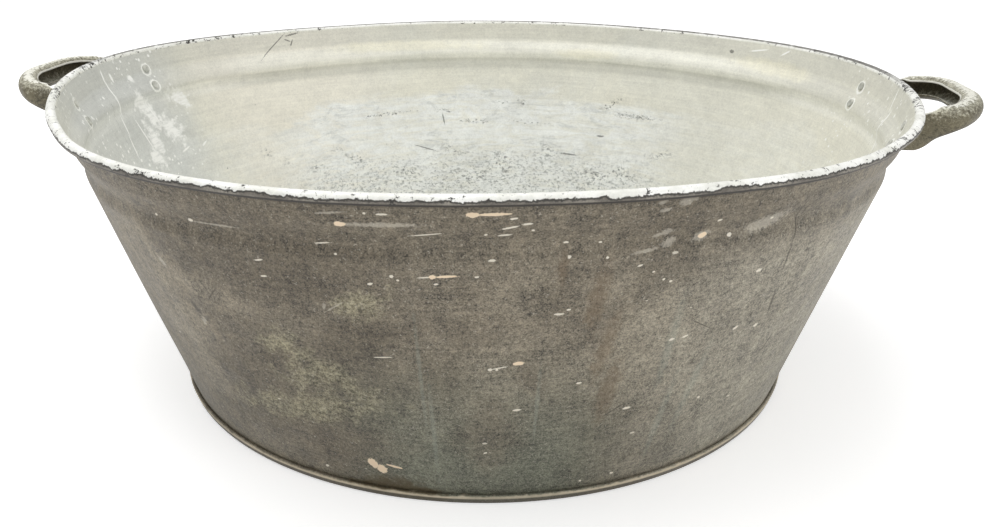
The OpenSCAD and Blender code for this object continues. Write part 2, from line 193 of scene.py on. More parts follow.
class TubShape:
    """The wall's lean, the seams' layers and the groove, worked out from the sizes."""

    def __init__(self, sizes):
        self.sizes = sizes
        t = sizes.sheet_t
        fit = sizes.seam_fit
        self.curl_r = sizes.wire_d / 2 + sizes.wire_fit
        self.roll_r = self.curl_r + t
        self.ring_r = sizes.rim_d / 2 - self.roll_r
        self.wire_z = sizes.tub_h - self.roll_r
        self.under_z = sizes.tub_h - 2 * self.roll_r
        self.layer = t + fit
        self.hem_u = fit + t / 2
        self.flange_u = 2 * fit + 1.5 * t
        self.skirt_u = 3 * fit + 2.5 * t
        run = self.ring_r - sizes.base_d / 2
        skirt_face = self.skirt_u + t / 2
        self.lean = (math.acos((self.curl_r - skirt_face) / math.hypot(run, self.wire_z))
                     - math.atan2(self.wire_z, run))
        self.base_r = sizes.base_d / 2 - skirt_face / math.cos(self.lean)
        self.curl_w = self.up_wall(self.wire_z, self.curl_r)
        self.groove_w = self.up_wall(self.under_z - sizes.groove_drop)
        self.foot_z = self.under_z - sizes.foot_gap - sizes.foot_h / 2
        self.bend_r = (self.flange_u + t / 2) / 2
        self.bend_w = self.up_wall(t + fit + self.bend_r + t / 2, self.flange_u - self.bend_r)
        self.hem_r = (self.skirt_u - self.hem_u) / 2
        self.hem_w = self.up_wall(sizes.seam_h - self.hem_r - t / 2, self.skirt_u - self.hem_r)

    def up_wall(self, z, u=0.0):
        return (z + u * math.sin(self.lean)) / math.cos(self.lean)

    def on_wall(self, u, w):
        """Radius and height of a point u off the wall's outer face and w up along it."""
        return (self.base_r + w * math.sin(self.lean) + u * math.cos(self.lean),
                w * math.cos(self.lean) - u * math.sin(self.lean))

    def groove_middle(self, angle):
        """The groove's place up the wall: level at the handles, higher in front than behind."""
        share = smooth((np.abs(np.sin(angle)) - 0.3) / 0.5)
        return self.groove_w - self.sizes.groove_tilt * np.sin(angle) * share

    def groove_in(self, w, angle=0.0):
        off = w - self.groove_middle(angle)
        side = np.where(off > 0, self.sizes.groove_upper_w, self.sizes.groove_lower_w)
        share = np.clip(np.abs(off) / side, 0, 1)
        return self.sizes.groove_depth * (1 + np.cos(np.pi * share)) / 2

    def groove_slant(self, w):
        """Angle by which the groove turns the wall's face at the handles."""
        off = w - self.groove_w
        side = self.sizes.groove_upper_w if off > 0 else self.sizes.groove_lower_w
        share = min(1.0, abs(off) / side)
        slope = self.sizes.groove_depth * math.pi / 2 * math.sin(math.pi * share) / side
        return math.atan(-math.copysign(slope, off))

    def w_at(self, z):
        w = self.up_wall(z)
        return self.up_wall(z - float(self.groove_in(w)) * math.sin(self.lean))

    def wall_r_at(self, z):
        w = self.w_at(z)
        return self.on_wall(-float(self.groove_in(w)), w)[0]

    def stretch_at(self, z):
        return 1 / math.cos(self.lean - self.groove_slant(self.w_at(z)))

    def seat_rise(self, w):
        """How far the wall's hollow at w stands proud of a flat rivet head's middle."""
        half = self.sizes.rivet_head_d / 2
        slope = math.tan(self.groove_slant(w))
        return max(float(self.groove_in(w) - self.groove_in(w + off)) + off * slope
                   for off in (-half, half))

    def settle(self, points):
        """Takes the tub a little out of round, as old tubs are; a grip's outer end stays put."""
        points = np.array(points, float)
        x, y, z = points.T
        radius = np.maximum(np.hypot(x, y), 1e-6)
        angle = np.arctan2(y, x)
        shift = sum(reach * MM * np.cos(turns * (angle - math.radians(crest)))
                    for turns, reach, crest in OUT_OF_ROUND)
        rim_r = self.sizes.rim_d / 2
        away = smooth((radius - rim_r) / (self.sizes.handle_stand - 2 * MM))
        shift *= np.clip(z / self.wire_z, 0, 1.1) * (1 - away)
        clear = smooth((np.abs(y) / radius - 0.32) / 0.3)
        front = np.arctan2(x, -y)
        ripple = (np.sin(9 * front + 1.3) + np.sin(14 * front + z * 17) * 0.7
                  + np.sin(23 * front - z * 31 + 0.6) * 0.35) * self.sizes.ripple
        shift += ripple * clear * np.clip((z - 0.012) / 0.03, 0, 1)
        points[:, 0] += x / radius * shift
        points[:, 1] += y / radius * shift
        return points


def arc(centre, radius, start, end, steps):
    angles = np.linspace(start, end, steps + 1)
    return np.column_stack([centre[0] + radius * np.cos(angles),
                            centre[1] + radius * np.sin(angles)])


def sheet_sides(path, thickness):
    """The left and right edges of a sheet that follows a path through its middle."""
    path = np.asarray(path, float)
    steps = np.diff(path, axis=0)
    left = np.column_stack([-steps[:, 1], steps[:, 0]])
    left /= np.linalg.norm(left, axis=1)[:, None]
    before = np.vstack([left[:1], left])
    after = np.vstack([left, left[-1:]])
    offset = (before + after) / (1 + (before * after).sum(1))[:, None] * thickness / 2
    return path + offset, path - offset


def sheet_outline(path, thickness):
    left, right = sheet_sides(path, thickness)
    return np.vstack([left, right[::-1]])


# Meshes

# Columns of points round the tub, or round a rivet
WALL_COLUMNS = 420
BOTTOM_COLUMNS = 480
RIVET_COLUMNS = 48


def enclosed(mesh):
    """Volume inside a closed mesh, negative where its faces look inward."""
    work = bmesh.new()
    work.from_mesh(mesh)
    volume = work.calc_volume(signed=True)
    work.free()
    return volume


def add_piece(name, vertices, faces, materials, face_slots=None, sharp=math.radians(38)):
    mesh = bpy.data.meshes.new(name)
    mesh.from_pydata([tuple(point) for point in vertices], [], faces)
    for material in materials:
        mesh.materials.append(material)
    if face_slots is not None:
        mesh.polygons.foreach_set("material_index", np.asarray(face_slots, np.int32))
    mesh.validate()
    if enclosed(mesh) < 0:
        mesh.flip_normals()
    mesh.shade_smooth()
    mesh.set_sharp_from_angle(angle=sharp)
    piece = bpy.data.objects.new(name, mesh)
    bpy.context.scene.collection.objects.link(piece)
    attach(piece, "root")
    return piece


def loop_faces(columns, ring, closed_round=False):
    """Quads between neighbouring columns of closed rings of points."""
    faces = []
    for column in range(columns if closed_round else columns - 1):
        here = column * ring
        there = (column + 1) % columns * ring
        for i in range(ring):
            j = (i + 1) % ring
            faces.append((here + i, here + j, there + j, there + i))
    return faces


def cap_faces(first, ring, flip):
    """Closes the end of a thin sheet whose two sides have as many points each."""
    faces = []
    for i in range(ring // 2 - 1):
        face = (first + i, first + i + 1, first + ring - 2 - i, first + ring - 1 - i)
        faces.append(face[::-1] if flip else face)
    return faces


def sheet_faces(columns, kinds):
    """A thin sheet's faces between its columns and over both ends, and the slot of each."""
    ring = len(kinds)
    faces = loop_faces(columns, ring)
    faces += cap_faces(0, ring, True) + cap_faces((columns - 1) * ring, ring, False)
    return faces, kinds * (columns - 1) + [0] * (2 * (ring // 2 - 1))


def wall_rows(shape, lowest):
    """Heights up the wall where its sheets and their hooks have rows of points."""
    lower = np.linspace(lowest, shape.groove_w - 28 * MM, 30)
    upper = np.linspace(shape.groove_w - 27 * MM, shape.curl_w - 1 * MM, 62)
    return np.concatenate([lower, upper])


def body_path(shape):
    """One body sheet's section: turned-up edge, wall with its rows, and the rolled rim."""
    sizes = shape.sizes
    t = sizes.sheet_t
    edge_w = shape.hem_w + shape.hem_r - t - sizes.seam_fit
    wall = [[-t / 2, w] for w in wall_rows(shape, shape.bend_w + 2 * MM)]
    turn = arc((shape.flange_u - shape.bend_r, shape.bend_w), shape.bend_r, 0, -math.pi, 8)
    roll = arc((shape.curl_r, shape.curl_w), shape.curl_r + t / 2, math.pi,
               math.pi - sizes.curl_angle, 44)
    path = np.vstack([[[shape.flange_u, edge_w]], turn, wall, roll])
    return path, 1 + len(turn) + len(wall)


def body_sheet(shape, name, end, materials):
    """Half of the tub's wall, with its hooks of the two lock seams. end is 1 in front, -1 behind."""
    sizes = shape.sizes
    path, roll_start = body_path(shape)
    outline = sheet_outline(path, sizes.sheet_t)
    steps = np.arange(len(path))
    on_path = np.concatenate([steps, steps[::-1]])
    radius, _ = shape.on_wall(*outline.T)
    first = np.arcsin(sizes.lock_w / 2 / radius)
    last = -math.pi + np.arcsin((sizes.lock_w / 2 + sizes.seam_fit) / radius)
    points = []
    for column in range(WALL_COLUMNS):
        angle = first + (last - first) * (column / (WALL_COLUMNS - 1))
        pressed = np.where(on_path < roll_start, shape.groove_in(outline[:, 1], angle), 0.0)
        radius, z = shape.on_wall(outline[:, 0] - pressed, outline[:, 1])
        points.append(round_tub(radius, angle, z))
    rolled = np.minimum(on_path, np.roll(on_path, -1)) >= roll_start - 1
    kinds = [2 if rolled[i] else int(i < len(path)) for i in range(len(outline))]
    faces, slots = sheet_faces(WALL_COLUMNS, kinds)
    points = np.vstack(points)
    for hook_path, turned in ((inner_hook_path(shape), False), (outer_hook_path(shape), True)):
        hook_points, hook_faces, hook_slots = lock_hook(shape, hook_path, turned)
        faces += [tuple(len(points) + i for i in face) for face in hook_faces]
        slots += hook_slots
        points = np.vstack([points, hook_points])
    points[:, :2] *= end
    return add_piece(name, shape.settle(points), faces, materials, slots)


def inner_hook_path(shape):
    """Across a lock seam, the edge that stays inside and hooks back outward: [y, u]."""
    sizes = shape.sizes
    middle = -sizes.sheet_t / 2
    bend_y = sizes.lock_w / 2 - shape.layer
    fold = arc((bend_y, middle + shape.layer), shape.layer, -math.pi / 2, math.pi / 2, 10)
    return np.vstack([[[bend_y - 1 * MM, middle]], fold,
                      [[shape.layer - sizes.lock_w / 2 + sizes.sheet_t, middle + 2 * shape.layer]]])


def outer_hook_path(shape):
    """Across a lock seam, the edge that steps out over the seam and hooks back under: [y, u]."""
    sizes = shape.sizes
    middle = -sizes.sheet_t / 2
    step_y = sizes.lock_w / 2 + sizes.seam_fit + sizes.sheet_t / 2
    top = middle + 3 * shape.layer
    bend = shape.layer
    corner_in = arc((step_y + bend, middle + bend), bend, -math.pi / 2, -math.pi, 6)
    corner_out = arc((step_y - bend, top - bend), bend, 0, math.pi / 2, 6)
    fold_y = -sizes.lock_w / 2 + shape.layer
    fold = arc((fold_y, top - bend), bend, math.pi / 2, 1.5 * math.pi, 10)
    return np.vstack([[[step_y + bend + 1 * MM, middle]], corner_in, corner_out, fold,
                      [[sizes.lock_w / 2 - 2 * shape.layer, middle + shape.layer]]])


def lock_hook(shape, path, turned):
    """A folded sheet edge, swept up the wall between the base seam and the rim."""
    outline = sheet_outline(path, shape.sizes.sheet_t)
    low = shape.up_wall(shape.sizes.seam_h + 0.5 * MM, shape.skirt_u)
    high = shape.curl_w - shape.roll_r - 0.5 * MM
    rows = wall_rows(shape, low)
    rows = rows[rows < high]
    points = []
    for w in rows:
        u = outline[:, 1] - float(shape.groove_in(w))
        radius, z = shape.on_wall(u, w)
        points.append(round_tub(radius, np.arcsin(outline[:, 0] / radius), z))
    points = np.vstack(points)
    if turned:
        points[:, :2] *= -1
    inside = outline[:, 1] < 0.1 * MM - shape.sizes.sheet_t
    kinds = [int(both) for both in inside & np.roll(inside, -1)]
    return points, *sheet_faces(len(rows), kinds)


def revolve(shape, name, outline, columns, materials, kinds):
    """Turns a closed outline of [radius, z] all the way round the tub's middle."""
    points = [round_tub(outline[:, 0], 2 * math.pi * column / columns, outline[:, 1])
              for column in range(columns)]
    faces = loop_faces(columns, len(outline), True)
    return add_piece(name, shape.settle(np.vstack(points)), faces, materials, kinds * columns)


def bottom_sides(shape):
    """The bottom's section from its raised middle to the end of its hem, as two sides."""
    sizes = shape.sizes
    t = sizes.sheet_t
    corner_r = 2 * t
    corner_x = shape.base_r + (shape.skirt_u - corner_r
                               + (t / 2 + corner_r) * math.sin(shape.lean)) / math.cos(shape.lean)
    slope_end = corner_x - sizes.foot_ring_w
    middle = [[r, t / 2 + sizes.panel_rise] for r in np.linspace(1 * MM, slope_end - 12 * MM, 26)]
    share = np.linspace(0, 1, 13)
    slope = np.column_stack([slope_end - sizes.panel_slope_w * (1 - share),
                             t / 2 + sizes.panel_rise * (1 + np.cos(np.pi * share)) / 2])
    corner = arc((corner_x, t / 2 + corner_r), corner_r, -math.pi / 2, -shape.lean, 8)
    hem = np.vstack([arc((shape.skirt_u - shape.hem_r, shape.hem_w), shape.hem_r, 0, math.pi, 10),
                     [[shape.hem_u, shape.bend_w + sizes.seam_fit]]])
    hem = np.column_stack(shape.on_wall(hem[:, 0], hem[:, 1]))
    flat = [[r, t / 2] for r in np.linspace(slope_end + 3 * MM, corner_x - 2 * MM, 4)]
    return sheet_sides(np.vstack([middle, slope, flat, corner, hem]), t)


def bottom_panel(shape, materials):
    upper, lower = bottom_sides(shape)
    outline = np.vstack([upper, lower[::-1]])
    inside_end = int(np.argmax(upper[:, 0] > shape.base_r - 1 * MM))
    kinds = [int(i >= inside_end) for i in range(len(outline))]
    return revolve(shape, "bottom_sheet", outline, BOTTOM_COLUMNS, materials, kinds)


# Handles

class HandleShape:
    """The path and the section of a pressed handle, from its grip's middle out to a foot."""

    def __init__(self, shape):
        self.shape = shape
        s = self.sizes = shape.sizes
        self.roll_r = (s.grip_h - s.handle_t) / 2
        inset = s.handle_t / 2 + self.roll_offset(s.grip_curl, self.roll_r)
        self.reach = s.rim_d / 2 + s.handle_stand - inset
        self.half_w = s.handle_w / 2 - inset
        self.leg_y = self.half_w - s.leg_pinch
        corner_room = self.reach - self.bend_centre(shape.foot_z)[0] - s.shortest_leg
        self.corner_r = min(s.handle_corner_r - inset, corner_room)
        self.start = (self.reach - self.corner_r, self.half_w - self.corner_r)
        self.opening_x = s.rim_d / 2 - shape.roll_r - s.wire_d / 2

    @staticmethod
    def roll_offset(curl, radius):
        return 0.0 if curl < 0.02 else radius * (1 - math.sin(curl / 2) / (curl / 2))

    def curled(self, x):
        return float(smooth((x - self.opening_x) / self.sizes.opening_run))

    def foot_ring_r(self, z):
        offset = self.sizes.foot_fit + self.sizes.handle_t / 2
        return self.shape.wall_r_at(z) + offset * self.shape.stretch_at(z)

    def bend_centre(self, z):
        radius = self.foot_ring_r(z) + self.sizes.foot_bend_r
        y = self.leg_y + self.sizes.foot_bend_r
        return math.sqrt(radius * radius - y * y), y

    def place(self, stretch, share, z):
        """Point, direction of the outer side and share of the way from leg to foot."""
        s = self.sizes
        if stretch == "grip":
            return (self.reach, self.start[1] * share), 0.0, 0.0
        if stretch == "corner":
            angle = math.pi / 2 * share
            x = self.start[0] + self.corner_r * math.cos(angle)
            pinch = s.leg_pinch * (1 - self.curled(x))
            return ((x - pinch * math.cos(angle),
                     self.start[1] + (self.corner_r - pinch) * math.sin(angle)), angle, 0.0)
        centre = self.bend_centre(z)
        if stretch == "leg":
            x = self.start[0] + (centre[0] - self.start[0]) * share
            return (x, self.half_w - s.leg_pinch * (1 - self.curled(x))), math.pi / 2, 0.0
        turn = math.atan2(centre[1], centre[0])
        if stretch == "bend":
            angle = math.pi / 2 - (math.pi / 2 - turn) * share
            return ((centre[0] - s.foot_bend_r * math.cos(angle),
                     centre[1] - s.foot_bend_r * math.sin(angle)), angle, share)
        radius = self.foot_ring_r(z)
        angle = turn + share * s.foot_len / radius
        return (radius * math.cos(angle), radius * math.sin(angle)), angle, 1.0

    def stations(self):
        grip = [("grip", i / 4) for i in range(4)]
        corner = [("corner", 1 - (1 - i / 60) ** 1.3) for i in range(61)]
        leg = [("leg", i / 6) for i in range(1, 7)]
        bend = [("bend", i / 12) for i in range(1, 13)]
        rounded = self.sizes.foot_corner_r / self.sizes.foot_len
        foot = [("foot", (1 - rounded) * i / 6) for i in range(1, 6)]
        foot += [("foot", 1 - rounded * (1 - math.sin(math.pi / 2 * i / 9))) for i in range(10)]
        return grip + corner + leg + bend + foot

    def ring_places(self, lip):
        """Places round a section's sheet: from its lower to its upper edge, and which side."""
        body = np.linspace(-1 + lip, 1 - lip, 36)
        turns = np.linspace(math.pi / 2, -math.pi / 2, 8)[1:-1]
        ring = [(v, 1.0) for v in body]
        ring += [(1 - lip + lip * math.cos(a), math.sin(a)) for a in turns]
        ring += [(v, -1.0) for v in body[::-1]]
        return ring + [(-1 + lip - lip * math.cos(a), -math.sin(a)) for a in turns]

    def lip_wear(self):
        """For each point of a ring, how near it lies to the upper lip."""
        v, side = np.array(self.ring_places(0.03)).T
        return smooth((v - 0.9) / 0.06) * (0.35 + 0.65 * smooth((side + 1.2) / 0.8))

    def section(self, station, half):
        """One closed ring round the sheet at a station, its two lips rounded."""
        s = self.sizes
        stretch, share = station
        spot_x = self.place(stretch, share, self.shape.foot_z)[0][0]
        flat = stretch in ("bend", "foot")
        curl_share = 0.0 if flat else self.curled(spot_x)
        trim = 0.0
        if stretch == "foot":
            left = max(0.0, s.foot_corner_r - s.foot_len * (1 - share))
            trim = s.foot_corner_r - math.sqrt(max(0.0, s.foot_corner_r ** 2 - left ** 2))
        curl = s.grip_curl * curl_share
        height = (s.grip_h - s.handle_t) * curl_share + (s.foot_h - 2 * trim) * (1 - curl_share)
        radius = 0.0
        if curl_share > 0:
            radius = height / 2 / (1 if curl > math.pi else math.sin(curl / 2))
        level = self.shape.foot_z + s.grip_lift * curl_share
        if not flat:
            level += s.grip_slope * max(0.0, spot_x - self.opening_x)
        developed = height if curl_share == 0 else radius * curl
        ring = self.ring_places(s.handle_t / developed)
        points = []
        for v, side in ring:
            turn = v * curl / 2
            if curl_share > 0:
                out = self.roll_offset(curl, radius) - radius * (1 - math.cos(turn))
                z = level + radius * math.sin(turn)
            else:
                out = 0.0
                z = level + v * height / 2
            (x, y), angle, turned = self.place(stretch, share, z)
            thick = 1 + turned * (self.shape.stretch_at(z) - 1)
            out += side * s.handle_t / 2 * math.cos(turn) * thick
            points.append((x + out * math.cos(angle), half * (y + out * math.sin(angle)),
                           z + side * s.handle_t / 2 * math.sin(turn)))
        return points


def handle_piece(shape, name, end, materials):
    """A handle, with the worn look of its lips kept as an attribute of its mesh."""
    handle = HandleShape(shape)
    stations = handle.stations()
    rings = [handle.section(station, -1) for station in stations[:0:-1]]
    rings += [handle.section(station, 1) for station in stations]
    ring = len(rings[0])
    points = np.vstack(rings)
    # Uneven thickness of the zinc coat
    x, y, z = points.T
    lumps = (np.sin(x * 410 + y * 130) * np.sin(z * 520 + 1.1) + 0.6 * np.sin(y * 690 + z * 300))
    points[:, 2] += lumps * 0.05 * MM * np.clip((x - 0.33) / 0.02, 0, 1)
    points[:, :2] *= end
    points = shape.settle(points)
    faces = loop_faces(len(rings), ring)
    for first, flip in ((0, True), ((len(rings) - 1) * ring, False)):
        face = tuple(range(first, first + ring))
        faces.append(face[::-1] if flip else face)
    piece = add_piece(name, points, faces, materials, sharp=math.radians(60))
    wear = piece.data.attributes.new("lip", "FLOAT", "POINT")
    wear.data.foreach_set("value", np.tile(handle.lip_wear(), len(rings)).astype(np.float32))
    return piece


# Rivets

def rivet_piece(shape, name, end, side, upper, materials):
    s = shape.sizes
    handle = HandleShape(shape)
    z = shape.foot_z + (s.rivet_pitch / 2 if upper else -s.rivet_pitch / 2)
    w = shape.w_at(z)
    radius, height = shape.on_wall(-float(shape.groove_in(w)), w)
    centre = handle.bend_centre(shape.foot_z)
    angle = math.atan2(centre[1], centre[0]) + (s.foot_len - s.rivet_edge) / handle.foot_ring_r(
        shape.foot_z)
    pitch = shape.groove_slant(w) - shape.lean
    dome_z = s.foot_fit + s.handle_t + s.head_fit + max(0.0, shape.seat_rise(w))
    tail_z = -s.sheet_t - s.head_fit
    dimple = s.rivet_tail_h / 3
    dome_r = (s.rivet_head_d ** 2 / 4 + s.rivet_head_h ** 2) / (2 * s.rivet_head_h)
    edge = math.asin(s.rivet_head_d / 2 / dome_r)
    dome = arc((0, dome_z + s.rivet_head_h - dome_r), dome_r, math.pi / 2 - edge,
               math.pi / 2 - 0.02, 14)
    tail_r = s.rivet_tail_d / 2
    bottom = tail_z - s.rivet_tail_h
    tail = [[0.02 * MM, bottom + dimple], [s.rivet_d / 2 - 2 * dimple, bottom + dimple],
            [s.rivet_d / 2 - dimple, bottom + dimple * 0.6], [s.rivet_d / 2, bottom + dimple * 0.1],
            [s.rivet_d / 2 + dimple, bottom], [tail_r - dimple, bottom],
            [tail_r - dimple * 0.3, bottom + dimple * 0.4], [tail_r, bottom + 1.2 * dimple],
            [tail_r, tail_z], [s.rivet_d / 2, tail_z], [s.rivet_d / 2, dome_z]]
    r, h = np.vstack([tail, dome]).T
    turn = side * angle
    points = []
    for column in range(RIVET_COLUMNS):
        around = 2 * math.pi * column / RIVET_COLUMNS
        tangent, up = r * math.cos(around), r * math.sin(around)
        out_r = radius + h * math.cos(pitch) - up * math.sin(pitch)
        out_z = height + h * math.sin(pitch) + up * math.cos(pitch)
        points.append(np.column_stack([
            out_r * math.cos(turn) - tangent * math.sin(turn),
            out_r * math.sin(turn) + tangent * math.cos(turn), out_z]))
    points = np.vstack(points)
    points[:, :2] *= end
    faces = loop_faces(RIVET_COLUMNS, len(h), True)
    slots = [int(low) for low in h < 0] * RIVET_COLUMNS
    return add_piece(name, shape.settle(points), faces, materials, slots)


# Shader helpers

# Radius that turns an angle round the wall into metres, and a distance that no mark reaches
RIM_ARC_R = 0.3
FAR_AWAY = 1000.0


class Value:
    """A node's output. Sums and products of values become math nodes in the same tree."""

    def __init__(self, tree, socket):
        self.tree = tree
        self.socket = socket

    def math(self, operation, *others, clamp=False):
        return node(self.tree, "ShaderNodeMath", dict(enumerate((self, *others))),
                    operation=operation, use_clamp=clamp)[0]

    def __add__(self, other):
        return self.math("ADD", other)

    def __sub__(self, other):
        return self.math("SUBTRACT", other)

    def __rsub__(self, other):
        return node(self.tree, "ShaderNodeMath", {0: other, 1: self}, operation="SUBTRACT")[0]

    def __mul__(self, other):
        return self.math("MULTIPLY", other)

    def __abs__(self):
        return self.math("ABSOLUTE")

    def most(self, other):
        return self.math("MAXIMUM", other)

    def vector_math(self, operation, *others, output="Vector"):
        return node(self.tree, "ShaderNodeVectorMath", dict(enumerate((self, *others))),
                    operation=operation)[output]

    def stretch(self, *scale):
        return self.vector_math("MULTIPLY", scale)

    def parts(self):
        """The three numbers of a vector."""
        made = node(self.tree, "ShaderNodeSeparateXYZ", {0: self})
        return made[0], made[1], made[2]

    def span(self, low, high, to_low=0.0, to_high=1.0, kind="SMOOTHSTEP"):
        """Carries the value from one range into another, level outside it."""
        return node(self.tree, "ShaderNodeMapRange", {
            "Value": self, "From Min": low, "From Max": high, "To Min": to_low,
            "To Max": to_high}, interpolation_type=kind)["Result"]

    def sweep(self, low, high, to_low=0.0, to_high=1.0):
        """The same between two places in degrees round the wall."""
        return self.span(metres_round(low), metres_round(high), to_low, to_high)

    def ramp(self, low, high, to_low, to_high):
        return self.span(low, high, to_low, to_high, "LINEAR")

    def noise(self, scale, detail=3.0, roughness=0.5, distortion=0.0):
        """Noise at this point, with one scale or one for each direction."""
        point = self
        if isinstance(scale, tuple):
            point = self.stretch(*scale)
            scale = 1.0
        return node(self.tree, "ShaderNodeTexNoise", {
            "Vector": point, "Scale": scale, "Detail": detail, "Roughness": roughness,
            "Distortion": distortion})["Fac"]


def metres_round(degrees):
    return math.radians(degrees) * RIM_ARC_R


def node(tree, kind, inputs=None, **settings):
    """Adds a node and returns its outputs, each by its number and by its name."""
    made = tree.nodes.new(kind)
    for key, value in settings.items():
        setattr(made, key, value)
    for key, value in (inputs or {}).items():
        if isinstance(value, Value):
            tree.links.new(value.socket, made.inputs[key])
        else:
            made.inputs[key].default_value = value
    outputs = {}
    for index, socket in enumerate(made.outputs):
        outputs[index] = outputs[socket.name] = Value(tree, socket)
    return outputs


def blend(share, first, second):
    """A colour between two, which are values or plain colours."""
    tints = [tint if isinstance(tint, Value) else (*tint, 1.0) for tint in (first, second)]
    return node(share.tree, "ShaderNodeMix", {0: share, 6: tints[0], 7: tints[1]},
                data_type="RGBA", clamp_factor=True)[2]


def mottled(tint, mottle, **amounts):
    """Brightens and darkens a colour by noises with their middle at 0.5."""
    total = 1.0
    for layer, amount in amounts.items():
        total = (mottle[layer] - 0.5) * amount + total
    return node(tint.tree, "ShaderNodeVectorMath", {0: tint, "Scale": total.most(0.05)},
                operation="SCALE")[0]


# Shared effects: each takes the tree and its inputs, and returns its outputs by name

def tub_place(tree, pins):
    """Where a point lies on the tub: across it, up, and metres round from the front or back."""
    point = node(tree, "ShaderNodeTexCoord")["Object"]
    x, y, z = point.parts()
    front = x.math("ARCTAN2", y * -1.0) * RIM_ARC_R
    back = x.math("ARCTAN2", y) * RIM_ARC_R
    walls = [node(tree, "ShaderNodeCombineXYZ", {0: value, 1: z, 2: FAR_AWAY})[0]
             for value in (front, back)]
    return {"Point": point, "Front": front, "Back": back, "Up": z, "Across": y,
            "Front Wall": walls[0], "Back Wall": walls[1]}


def zinc_mottle(tree, pins):
    """Noises of weathered zinc, each with its middle at 0.5, from broad clouds to fine grain."""
    layers = (("Clouds", 6.5, 4.0, 0.62), ("Patches", 26.0, 4.0, 0.62),
              ("Blotches", 95.0, 4.0, 0.66), ("Grain", 420.0, 3.0, 0.7), ("Fine", 1150.0, 1.0, 0.5))
    point = pins["Point"]
    made = {label: point.noise(scale, detail, rough, 0.3) for label, scale, detail, rough in layers}
    made["Runs"] = point.noise((95.0, 95.0, 5.0), 4.0, 0.62)
    made["Brush"] = point.noise((14.0, 14.0, 420.0), 3.0, 0.65)
    return made


def specks(tree, pins):
    """Scattered small specks, of which a share is kept."""
    cells = node(tree, "ShaderNodeTexVoronoi", {"Vector": pins["Point"], "Scale": pins["Scale"]})
    chance = node(tree, "ShaderNodeSeparateColor", {0: cells["Color"]})
    kept = chance[0].math("LESS_THAN", pins["Kept"])
    size = pins["Size"] * chance[1].math("MULTIPLY_ADD", 1.1, 0.35)
    return {"Mask": kept * cells["Distance"].span(size * 0.7, size, 1.0, 0.0)}


def wall_mark(tree, pins):
    """Adds a turned oval to a row of marks: the wall point's third value is how far it lies
    from the nearest one, with 1 on an oval's edge. Marks in a row follow one another, because
    side by side they need more room than the renderer has."""
    along, up, nearest = pins["Wall"].parts()
    laid = node(tree, "ShaderNodeMapping", {
        "Vector": pins["Wall"], "Location": pins["Centre"], "Rotation": pins["Turn"],
        "Scale": pins["Halves"]}, vector_type="TEXTURE")[0]
    far = laid.vector_math("LENGTH", output="Value")
    return {"Wall": node(tree, "ShaderNodeCombineXYZ", {
        0: along, 1: up, 2: far.math("MINIMUM", nearest)})[0]}


def rim_turn(tree, pins):
    """How far round the rolled rim a point lies: 0 faces outward, a quarter turn faces up."""
    normal = node(tree, "ShaderNodeNewGeometry")["Normal"]
    outward = pins["Point"].stretch(1.0, 1.0, 0.0).vector_math("NORMALIZE")
    radial = normal.vector_math("DOT_PRODUCT", outward, output="Value")
    return {"Degrees": normal.parts()[2].math("ARCTAN2", radial).math("DEGREES")}


# Each effect's maker and inputs: a number's default, or None for a vector
EFFECTS = {
    "Tub Place": (tub_place, {}),
    "Zinc Mottle": (zinc_mottle, {"Point": None}),
    "Specks": (specks, {"Point": None, "Scale": 200.0, "Kept": 0.1, "Size": 0.25}),
    "Wall Mark": (wall_mark, {"Wall": None, "Centre": None, "Turn": None, "Halves": None}),
    "Rim Turn": (rim_turn, {"Point": None}),
}
SOCKETS = {"VALUE": "NodeSocketFloat", "VECTOR": "NodeSocketVector"}


def effect_group(name):
    """The shader node group of an effect, built at its first use."""
    if name in bpy.data.node_groups:
        return bpy.data.node_groups[name]
    build, inputs = EFFECTS[name]
    tree = bpy.data.node_groups.new(name, "ShaderNodeTree")
    for label, value in inputs.items():
        kind = SOCKETS["VECTOR" if value is None else "VALUE"]
        socket = tree.interface.new_socket(label, in_out="INPUT", socket_type=kind)
        if value is not None:
            socket.default_value = value
    results = build(tree, node(tree, "NodeGroupInput"))
    for label, value in results.items():
        tree.interface.new_socket(label, in_out="OUTPUT", socket_type=SOCKETS[value.socket.type])
    leave = tree.nodes.new("NodeGroupOutput")
    for label, value in results.items():
        tree.links.new(value.socket, leave.inputs[label])
    return tree


